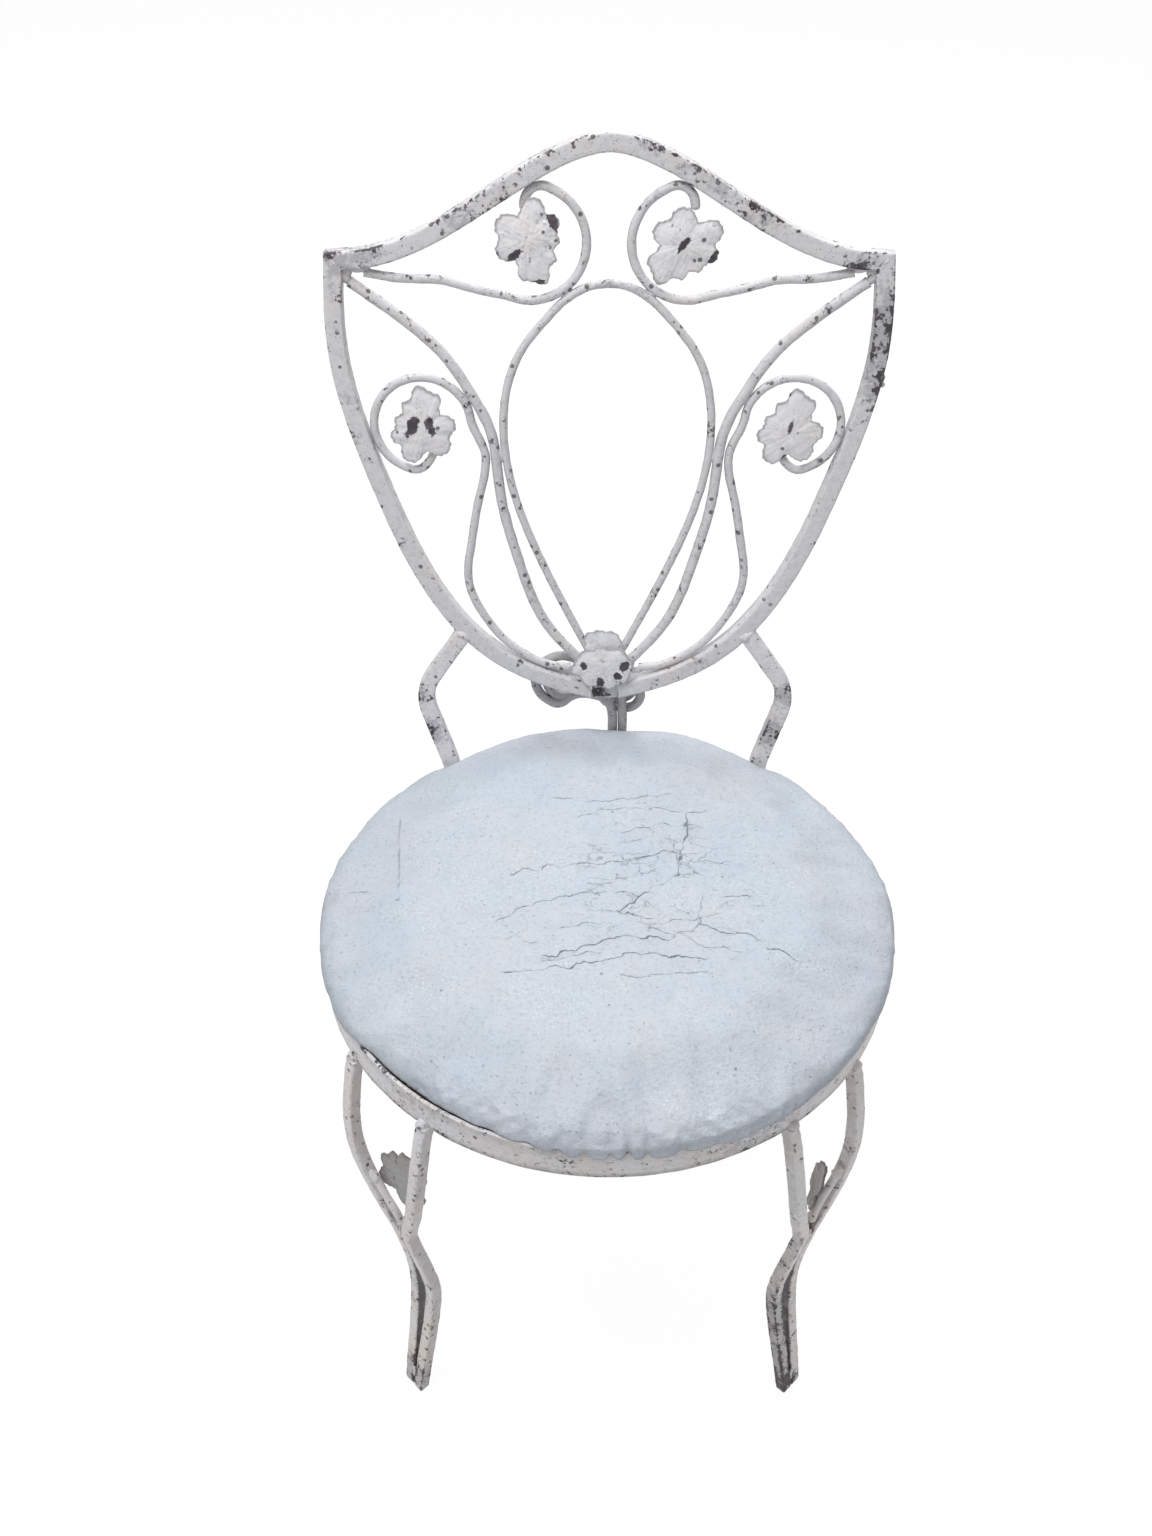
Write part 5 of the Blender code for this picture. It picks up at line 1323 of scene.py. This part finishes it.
class CHAIR_OT_welds(bpy.types.Operator):
    """Weld beads under the paint where bars and rods are joined, and a drip on the right side bar"""
    bl_idname = "chair.welds"
    bl_label = "Welds"

    def execute(self, context):
        size = context.scene.chair_sizes.weld
        flat = shield_frame()
        parts = []

        def shield_weld(x, v, direction, long=1.6, wide=1.0, n=0.0):
            at = flat @ Vector((x, v, n))
            along = flat.to_3x3() @ Vector((*direction, 0))
            reach = size * wide
            parts.append(blob(at, along, (reach * 0.75, reach, reach * long), len(parts) + 5))

        oval, scroll, sweep, lower = oval_line(), upper_scroll_line(), sweep_line(), lower_scroll_line()
        rail, side = rail_line(), side_line()
        for _, hand in HANDS:
            for first, second, span in ((oval, scroll, 1.9), (sweep, oval, 2.4), (sweep, lower, 1.8),
                                        (lower, side, 1.6), (scroll, rail, 1.6)):
                away = np.linalg.norm(first[:, None] - second[None], axis=2)
                if second is side:
                    away[lower[:, 1] < 0.15] = 1
                if second is rail:
                    away[:200] = 1
                i, j = np.unravel_index(np.argmin(away), away.shape)
                i = min(max(i, 1), len(first) - 2)
                middle = (first[i] + second[j]) / 2
                direction = (first[i + 1] - first[i - 1]) * (hand, 1)
                shield_weld(hand * middle[0], middle[1], direction, span, 0.72)
            # at the rods' upper ends and in the corner: point, shift, direction, length and width
            corner = (HALF_WIDTH, SHOULDER)
            for (x, v), shift, direction, long, wide in (
                    (scroll[0], 0.003, (hand, 0.1), 2.4, 1.1),
                    (sweep[0], 0.004, (hand, 1), 2.0, 1.3),
                    (corner, -0.007, (hand, 1), 1.2, 1.3)):
                shield_weld(hand * (x + shift), v + shift, direction, long, wide)
            for across in (-1, 1):
                shield_weld(hand * HALF_WIDTH, SHOULDER, (hand, 1), 2.3, 0.5, across * BAR * 0.44)
            for (x, v), drop, direction in ((lower[-1], 0.002, (hand, 0.2)),
                                            (sweep[-1], 0.005, (hand * 0.4, 1))):
                shield_weld(hand * x, v - drop, direction, 2.2, 0.9)
            line, where = post_line(hand)
            parts.append(blob(where @ Vector(line[-1]), where.to_3x3() @ Vector(line[-1] - line[-3]),
                              POST_END_BEAD, 61 + hand))
            parts.append(blob(where @ Vector(line[0]) + Vector((0, 0, 0.012)), (0, 0, 1),
                              POST_FOOT_BEAD, 63 + hand))
        for at, drip, seed in DRIPS:
            parts.append(blob(flat @ Vector(at), SHIELD_UP, drip, seed))
        self.rear_and_legs(parts, flat)
        verts, faces, edge = joined(parts)
        piece("weld_beads", verts, faces, edge, iron(), wear_on_back(verts) * 0.5, smooth=80)
        return {"FINISHED"}

    def rear_and_legs(self, parts, flat):
        """Beads at the rear stems, at each leg's head, along the seam of its bars and at its stem's ends."""
        back = SEAT_Y + RING_RADIUS + 0.0012
        parts.append(blob((STEM_MIDDLE, back, RING_UNDERSIDE + 0.010), (0, 0, 1), STEM_FOOT_BEAD, 74))
        parts.append(blob(flat @ Vector((-0.020, -0.002, -BAR / 2 - 0.0010)), (1, 0, 0), CURL_BEAD, 75))
        for place, azimuth, outer, wide, stem, _ in LEGS:
            where = leg_frame(azimuth)
            turn = where.to_3x3()
            for across, top in ((-outer, LEG_SPREAD), (outer, wide)):
                skin = sqrt(RING_RADIUS ** 2 - top ** 2)
                head = where @ Vector((skin - 0.0006, RING_UNDERSIDE + 0.0004, across * top))
                parts.append(blob(head, (0, 0, 1), LEG_TOP_BEAD, 76))
            profile = leg_profile()
            for drop, reach in ((LEG_MEET + 0.001, 0.009), (LEG_MEET + 0.022, 0.005), (0.352, 0.009)):
                out = RING_RADIUS - LEG_BAR / 2 + np.interp(drop, profile[:, 1], profile[:, 0])
                for skin in (-1, 1):
                    at = where @ Vector((out + skin * (LEG_BAR / 2 - 0.0009), RING_UNDERSIDE - drop, 0))
                    parts.append(blob(at, (0, 0, 1), (LEG_SEAM, LEG_SEAM, reach), 77))
            line = leg_stem_line(stem, wide, outer)
            for end, inner in ((0, 3), (-1, -4)):
                at = where @ Vector(line[end])
                along = turn @ Vector(line[inner] - line[end])
                parts.append(blob(at, along, LEG_STEM_BEAD, 78))


# The seat

def pad_profile(swell):
    """Heights of the pad's skin against its radius, from the crown down to the lip and under it."""
    lip = RING_RADIUS - 0.0008
    over = RING_TOP + CUSHION_LIFT
    rise = CUSHION_CROWN - CUSHION_LIFT - swell
    skin = [((lip - swell * 0.35) * share, over + rise * height) for share, height in PAD_CURVE]
    inside = RING_INSIDE - PAD_CLEARANCE - 0.0004
    under = RING_UNDERSIDE + TAB_RISE + 2 * JOIN + BOARD_SHEET
    return np.array(skin + [(lip - 0.004, over + 0.0002), (inside, over), (inside, (over + under) / 2),
                            (inside - 0.0008, under + 0.0004), (inside * 0.7, under + 0.0001),
                            (inside * 0.35, under + 0.0001), (0, under + 0.0001)])


def line_distance(points, line):
    """Distance from each point to a broken line, and the side it lies on."""
    line = np.array(line)
    start = line[:-1][None]
    run = (line[1:] - line[:-1])[None]
    off = points[:, None] - start
    share = np.clip((off * run).sum(2) / (run ** 2).sum(2), 0, 1)
    away = np.linalg.norm(off - share[..., None] * run, axis=2)
    pick = away.argmin(1)
    row = np.arange(len(points))
    chosen = off[row, pick]
    heading = run[0][pick]
    sign = np.sign(heading[:, 0] * chosen[:, 1] - heading[:, 1] * chosen[:, 0])
    return away[row, pick], np.where(sign == 0, 1, sign)


class CHAIR_OT_pad(bpy.types.Operator):
    """Padded vinyl seat, filled by a short cloth simulation, with tucks at its rim, and its board"""
    bl_idname = "chair.pad"
    bl_label = "Seat pad"

    def execute(self, context):
        sizes = context.scene.chair_sizes
        swell = sizes.pad_swell
        mesh = bpy.data.meshes.new("seat_pad_cover")
        verts, faces = self.skin(pad_profile(swell * 0.4))
        mesh.from_pydata(verts.tolist(), [], faces)
        made = placed("seat_pad_cover", mesh)
        self.even(made)
        self.fill(made, sizes.pad_swell)
        self.refine(made)
        self.shape(made, sizes.pleat)
        made.data.materials.append(cracked_vinyl())
        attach(made, "seat_pad")
        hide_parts("seat_cushion")
        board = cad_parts["seat_board"]
        wood = bare_plywood()
        if not board.data.materials:
            board.data.materials.append(wood)
        for slot in board.material_slots:
            slot.material = wood
        return {"FINISHED"}

    def skin(self, profile):
        """The profile turned about the seat's axis, with one point at each pole."""
        rows = len(profile) - 2
        angle = np.arange(PAD_STEPS) / PAD_STEPS * 2 * pi
        ring = profile[1:-1]
        verts = np.stack([ring[:, 0][:, None] * np.cos(angle), SEAT_Y + ring[:, 0][:, None] * np.sin(angle),
                          np.repeat(ring[:, 1][:, None], PAD_STEPS, 1)], -1).reshape(-1, 3)
        verts = np.vstack([verts, [[0, SEAT_Y, profile[0, 1]], [0, SEAT_Y, profile[-1, 1]]]])
        return verts, quads(rows, PAD_STEPS, back=True) + poles(rows, PAD_STEPS, back=True)

    def apply(self, made, step_name):
        found = made.evaluated_get(bpy.context.evaluated_depsgraph_get())
        mesh = bpy.data.meshes.new_from_object(found)
        made.modifiers.remove(made.modifiers[step_name])
        old = made.data
        made.data = mesh
        bpy.data.meshes.remove(old)
        mesh.name = "seat_pad_cover"

    def even(self, made):
        """Even squares of one size over the whole skin."""
        remesh = made.modifiers.new("even", "REMESH")
        remesh.mode = "VOXEL"
        remesh.voxel_size = VOXEL
        self.apply(made, "even")

    def fill(self, made, most):
        """Cloth with pressure and no gravity, pinned up to just above the ring's top edge; no point moves
        further than the cap, and the part inside the ring keeps its place."""
        before = read_points(made.data)
        hold = made.vertex_groups.new(name="hold")
        low = np.nonzero(before[:, 2] < RING_TOP + 0.0030)[0]
        hold.add(low.tolist(), 1.0, "REPLACE")
        cloth = made.modifiers.new("fill", "CLOTH")
        cloth.settings.use_pressure = True
        cloth.settings.uniform_pressure_force = FILL_PRESSURE
        cloth.settings.effector_weights.gravity = 0.0
        cloth.settings.vertex_group_mass = "hold"
        cloth.settings.quality = 6
        cloth.settings.tension_stiffness = 25
        cloth.settings.compression_stiffness = 25
        cloth.settings.bending_stiffness = 2.0
        cloth.point_cache.frame_start = 1
        cloth.point_cache.frame_end = FILL_FRAMES
        scene = bpy.context.scene
        for number in range(1, FILL_FRAMES + 1):
            scene.frame_set(number)
        after = read_points(made.evaluated_get(bpy.context.evaluated_depsgraph_get()).data)
        made.modifiers.remove(cloth)
        made.vertex_groups.remove(hold)
        scene.frame_set(1)
        travel = after - before
        moved_by = np.linalg.norm(travel, axis=1, keepdims=True)
        travel *= np.minimum(1, most / np.maximum(moved_by, 1e-9))
        made.data.vertices.foreach_set("co", (before + travel).ravel())
        made.data.update()

    def refine(self, made):
        """Top faces near a crack or the front rim are cut in nine, then the whole skin is subdivided once."""
        work = bmesh.new()
        work.from_mesh(made.data)
        work.faces.ensure_lookup_table()
        middle = np.array([face.calc_center_median() for face in work.faces])
        near = np.minimum.reduce([line_distance(middle[:, :2] - (0, SEAT_Y), line)[0] for _, line in CRACKS])
        turn = np.degrees(np.arctan2(middle[:, 1] - SEAT_Y, middle[:, 0]))
        away = np.hypot(middle[:, 0], middle[:, 1] - SEAT_Y)
        front = (np.abs(turn - FRONT_RIM[0]) < FRONT_RIM[1]) & (away > RING_RADIUS * 0.80)
        high = middle[:, 2] > RING_TOP + 0.008
        chosen = np.nonzero((near < NEAR_CRACK) & high | front & (middle[:, 2] > RING_TOP - 0.001))[0]
        edges = {edge for k in chosen for edge in work.faces[int(k)].edges}
        bmesh.ops.subdivide_edges(work, edges=sorted(edges, key=lambda edge: edge.index), cuts=2,
                                  use_grid_fill=True)
        work.to_mesh(made.data)
        work.free()
        step = made.modifiers.new("finer", "SUBSURF")
        step.levels = 1
        step.render_levels = 1
        self.apply(made, "finer")

    def shape(self, made, pleat):
        """Lip drawn in at the front left, puckers at the front, soft unevenness, then the crack values."""
        p = read_points(made.data)
        x = p[:, 0]
        y = p[:, 1] - SEAT_Y
        radius = np.hypot(x, y)
        angle = np.degrees(np.arctan2(y, x))
        above = np.clip((p[:, 2] - RING_TOP + 0.0004) / 0.002, 0, 1)
        outer = np.clip((radius / RING_RADIUS - 0.62) / 0.38, 0, 1.05)

        def toward(at, wide):
            off = (angle - at + 180) % 360 - 180
            return np.exp(-(off / wide) ** 2)

        # the crown is set to its height, then the rim hangs over the ring, but not at the posts and
        # stems behind, and is drawn in at the front left
        crowned = RING_TOP + (p[:, 2] - RING_TOP) * PAD_CROWN / (p[:, 2].max() - RING_TOP)
        p[:, 2] = np.where(above > 0, crowned, p[:, 2])
        clear = (1 - toward(90 + POST_DEGREES, 5.5)) * (1 - toward(90 - POST_DEGREES, 5.5))
        clear = clear * (1 - toward(87, 6))
        hang = 0.0037 + 0.0009 * np.sin(np.radians(angle * 5 + 40)) + 0.0006 * np.sin(np.radians(angle * 11))
        hang = hang * clear
        drawn_in = toward(LIP_DRAWN_IN, DRAWN_WIDE)
        hang = hang * (1 - drawn_in) * (1 - 0.8 * toward(LIP_DRAWN_IN + 18, 9)) + 0.0004
        wide = 360 / SECTORS
        sector = ((angle + 180) / wide).astype(int) % SECTORS
        most = np.zeros(SECTORS)
        np.maximum.at(most, sector, np.where(above > 0, radius, 0))
        reach = np.interp(angle, np.arange(SECTORS) * wide + wide / 2 - 180, most, period=360)
        target = RING_RADIUS - 0.0006 + hang - 0.0052 * drawn_in
        rise = np.clip((radius / reach - 0.80) / 0.20, 0, 1)
        change = (target - reach) * rise ** 2 * (3 - 2 * rise) * above
        # tucks: narrow folds that run up from the lip
        folds = np.zeros(len(p))
        height = np.clip((p[:, 2] - RING_TOP) / 0.016, 0, 1)
        for at, wide, deep in TUCKS:
            folds += deep * toward(at, wide)
        folds *= np.exp(-(np.clip(p[:, 2] - RING_TOP, 0, 1) / 0.017) ** 2) * above * outer ** 2
        change -= pleat * folds
        scale = 1 + change / np.maximum(radius, 1e-4)
        p[:, 0] = x * scale
        p[:, 1] = SEAT_Y + y * scale
        dome = above * np.clip((RING_RADIUS - radius) / 0.02, 0, 1)
        flat = np.stack([x, y, np.zeros_like(x)], 1)
        p[:, 2] += dome * (0.0006 * ripple(flat, 0.085, 14) + 0.00022 * ripple(flat, 0.022, 15))
        raised = 0.0009 * ripple(flat, 0.050, 17) + 0.0010 * toward(LIP_DRAWN_IN + 2, DRAWN_WIDE)
        p[:, 2] += above * outer ** 3 * raised
        p[:, 2] -= pleat * 0.45 * folds * np.clip((p[:, 2] - RING_TOP) / 0.010, 0, 1)
        # the part in the ring stays inside it, the skin over the ring clears its top edge, and what
        # stands out past the ring hangs a little lower
        now = np.hypot(p[:, 0], p[:, 1] - SEAT_Y)
        inside = RING_INSIDE - 0.0022
        low = p[:, 2] < RING_TOP - 0.0002
        pull = np.where(low & (now > inside), inside / np.maximum(now, 1e-6), 1)
        p[:, 0] *= pull
        p[:, 1] = SEAT_Y + (p[:, 1] - SEAT_Y) * pull
        now = now * pull
        outside = np.clip((now - RING_RADIUS - 0.0006) / 0.0016, 0, 1)
        near_lip = np.clip(1 - (p[:, 2] - RING_TOP) / 0.012, 0, 1)
        p[:, 2] = np.where(now > inside, np.maximum(p[:, 2], RING_TOP + 0.0004), p[:, 2])
        p[:, 2] -= outside * near_lip * (0.0036 + 0.0016 * toward(-90, 30))
        floor = RING_UNDERSIDE + TAB_RISE + 2 * JOIN + BOARD_SHEET
        p[:, 2] = np.maximum(p[:, 2], floor)
        made.data.vertices.foreach_set("co", p.ravel())
        self.marks(made, p, outer, height, folds)
        made.data.shade_smooth()
        made.data.update()

    def marks(self, made, p, outer, height, folds):
        """Values on the skin: signed and plain distance to the cracks, to the scratch, the cracked zone
        and the painted shade at the rim and in the tucks."""
        flat = np.stack([p[:, 0], p[:, 1] - SEAT_Y, np.zeros(len(p))], 1)
        bent = flat[:, :2].copy()
        for axis in (0, 1):
            bent[:, axis] += (0.0019 * ripple(flat, 0.017, 25 + axis)
                              + 0.0010 * ripple(flat, 0.0065, 35 + axis))
        flat = flat[:, :2]
        near, signed, opened = np.ones(len(p)), np.ones(len(p)), np.zeros(len(p))
        for amount, line in CRACKS:
            away, side = line_distance(bent, line)
            closer = away < near
            near[closer] = away[closer]
            signed[closer] = (away * side)[closer]
            opened[closer] = amount
        sink = opened * (0.00016 * np.exp(-((near - 0.0015) / 0.0009) ** 2)
                         - 0.00040 * np.exp(-(near / 0.0006) ** 2))
        top = p[:, 2] > RING_TOP + 0.008
        p[:, 2] += np.where(top, sink, 0)
        made.data.vertices.foreach_set("co", p.ravel())
        zone = np.exp(-((flat[:, 0] - 0.035) / 0.085) ** 2 - ((flat[:, 1] - 0.005) / 0.080) ** 2)
        scratch, _ = line_distance(flat, SCRATCH)
        # painted shade: high low on the rim and in the tucks
        rim = np.clip(outer ** 6 * np.exp(-((height - 0.15) / 0.45) ** 2) + 1.1 * folds ** 2, 0, 1.2)
        write_values(made.data, crack_near=near, crack_side=signed, crack_open=opened, crack_zone=zone,
                     scratch=scratch, rim=rim, outer=outer)


# The stage

class CHAIR_OT_stage(bpy.types.Operator):
    """Pale floor, soft light and the camera at the photograph's angle"""
    bl_idname = "chair.stage"
    bl_label = "Stage"

    def execute(self, context):
        settings = context.scene.chair_stage
        self.camera()
        self.floor()
        world = bpy.data.worlds.new("studio")
        context.scene.world = world
        world.use_nodes = True
        tree = world.node_tree
        light = tree.nodes["Background"]
        light.inputs["Color"].default_value = (1.0, 1.0, 1.0, 1)
        light.inputs["Strength"].default_value = settings.world
        seen = tree.nodes.new("ShaderNodeBackground")
        seen.inputs["Strength"].default_value = 1.0
        self.choose(tree, self.either(tree, "Is Transmission Ray"), light, seen, "World Output")
        for name, at, share, size in LAMPS:
            lamp = bpy.data.lights.new(name, "AREA")
            lamp.energy = settings.key * share
            lamp.size = size
            turn = (Vector(AIM) - Vector(at)).to_track_quat("-Z", "Y").to_matrix().to_4x4()
            placed(name, lamp, Matrix.Translation(at) @ turn)
        context.scene.view_settings.view_transform = "Standard"
        return {"FINISHED"}

    def either(self, tree, ray):
        """1 for a camera ray and for the named kind of ray."""
        path = tree.nodes.new("ShaderNodeLightPath")
        either = tree.nodes.new("ShaderNodeMath")
        either.operation = "MAXIMUM"
        tree.links.new(path.outputs["Is Camera Ray"], either.inputs[0])
        tree.links.new(path.outputs[ray], either.inputs[1])
        return either.outputs[0]

    def choose(self, tree, share, first, second, output):
        """The first shader, and the second by its share."""
        choose = tree.nodes.new("ShaderNodeMixShader")
        for source, socket in ((share, 0), (first.outputs[0], 1), (second.outputs[0], 2)):
            tree.links.new(source, choose.inputs[socket])
        tree.links.new(choose.outputs[0], tree.nodes[output].inputs["Surface"])

    def camera(self):
        """Looks 41.4 degrees down from above the front, as the photograph does."""
        pitch, yaw, roll = CAMERA_TURN
        ahead = Vector((sin(yaw) * cos(pitch), cos(yaw) * cos(pitch), -sin(pitch)))
        right = Vector((cos(yaw), -sin(yaw), 0))
        up = right.cross(ahead)
        turned_right = cos(roll) * right + sin(roll) * up
        turned_up = -sin(roll) * right + cos(roll) * up
        data = bpy.data.cameras.new("camera")
        data.lens = LENS
        data.sensor_width = SENSOR
        where = frame_matrix(Vector(CAMERA_AT), turned_right, turned_up, -ahead)
        bpy.context.scene.camera = placed("camera", data, where)

    def floor(self):
        """Wide pale floor that takes shadows, and shows most of its colour as plain white."""
        mesh = bpy.data.meshes.new("floor")
        corners = [(x * FLOOR_REACH, y * FLOOR_REACH, 0) for x, y in ((-1, -1), (1, -1), (1, 1), (-1, 1))]
        mesh.from_pydata(corners, [], [(0, 1, 2, 3)])
        paint = bpy.data.materials.new("pale_floor")
        paint.use_nodes = True
        tree = paint.node_tree
        surface = tree.nodes["Principled BSDF"]
        surface.inputs["Base Color"].default_value = (0.80, 0.80, 0.80, 1)
        surface.inputs["Roughness"].default_value = 0.9
        glow = tree.nodes.new("ShaderNodeEmission")
        glow.inputs["Strength"].default_value = FLOOR_GLOW
        share = tree.nodes.new("ShaderNodeMath")
        share.operation = "MULTIPLY"
        share.inputs[1].default_value = FLOOR_GLOW_SHARE
        tree.links.new(self.either(tree, "Is Glossy Ray"), share.inputs[0])
        self.choose(tree, share.outputs[0], surface, glow, "Material Output")
        mesh.materials.append(paint)
        made = placed("floor", mesh)


class CHAIR_PT_panel(bpy.types.Panel):
    """Sizes, colours and one button for each group of pieces"""
    bl_idname = "CHAIR_PT_panel"
    bl_label = "Vanity chair"
    bl_space_type = "VIEW_3D"
    bl_region_type = "UI"
    bl_category = "Vanity chair"

    def draw(self, context):
        for group in (context.scene.chair_sizes, context.scene.chair_colours, context.scene.chair_stage):
            box = self.layout.box()
            for name in group.__annotations__:
                box.prop(group, name)
        for operator in OPERATORS:
            self.layout.operator(operator.bl_idname)


GROUPS = (ChairSizes, ChairColours, StageSettings)
OPERATORS = (CHAIR_OT_stage, CHAIR_OT_ring, CHAIR_OT_shield, CHAIR_OT_rods, CHAIR_OT_posts, CHAIR_OT_legs,
             CHAIR_OT_leaves, CHAIR_OT_welds, CHAIR_OT_pad)


def register():
    for item in (*GROUPS, *OPERATORS, CHAIR_PT_panel):
        bpy.utils.register_class(item)
    bpy.types.Scene.chair_sizes = PointerProperty(type=ChairSizes)
    bpy.types.Scene.chair_colours = PointerProperty(type=ChairColours)
    bpy.types.Scene.chair_stage = PointerProperty(type=StageSettings)


def unregister():
    del bpy.types.Scene.chair_stage
    del bpy.types.Scene.chair_colours
    del bpy.types.Scene.chair_sizes
    for item in reversed((*GROUPS, *OPERATORS, CHAIR_PT_panel)):
        bpy.utils.unregister_class(item)


def main():
    register()
    bpy.ops.chair.stage()
    bpy.ops.chair.ring()
    bpy.ops.chair.shield()
    bpy.ops.chair.rods()
    bpy.ops.chair.posts()
    bpy.ops.chair.legs()
    bpy.ops.chair.leaves()
    bpy.ops.chair.welds()
    bpy.ops.chair.pad()


if __name__ == "__main__":
    main()
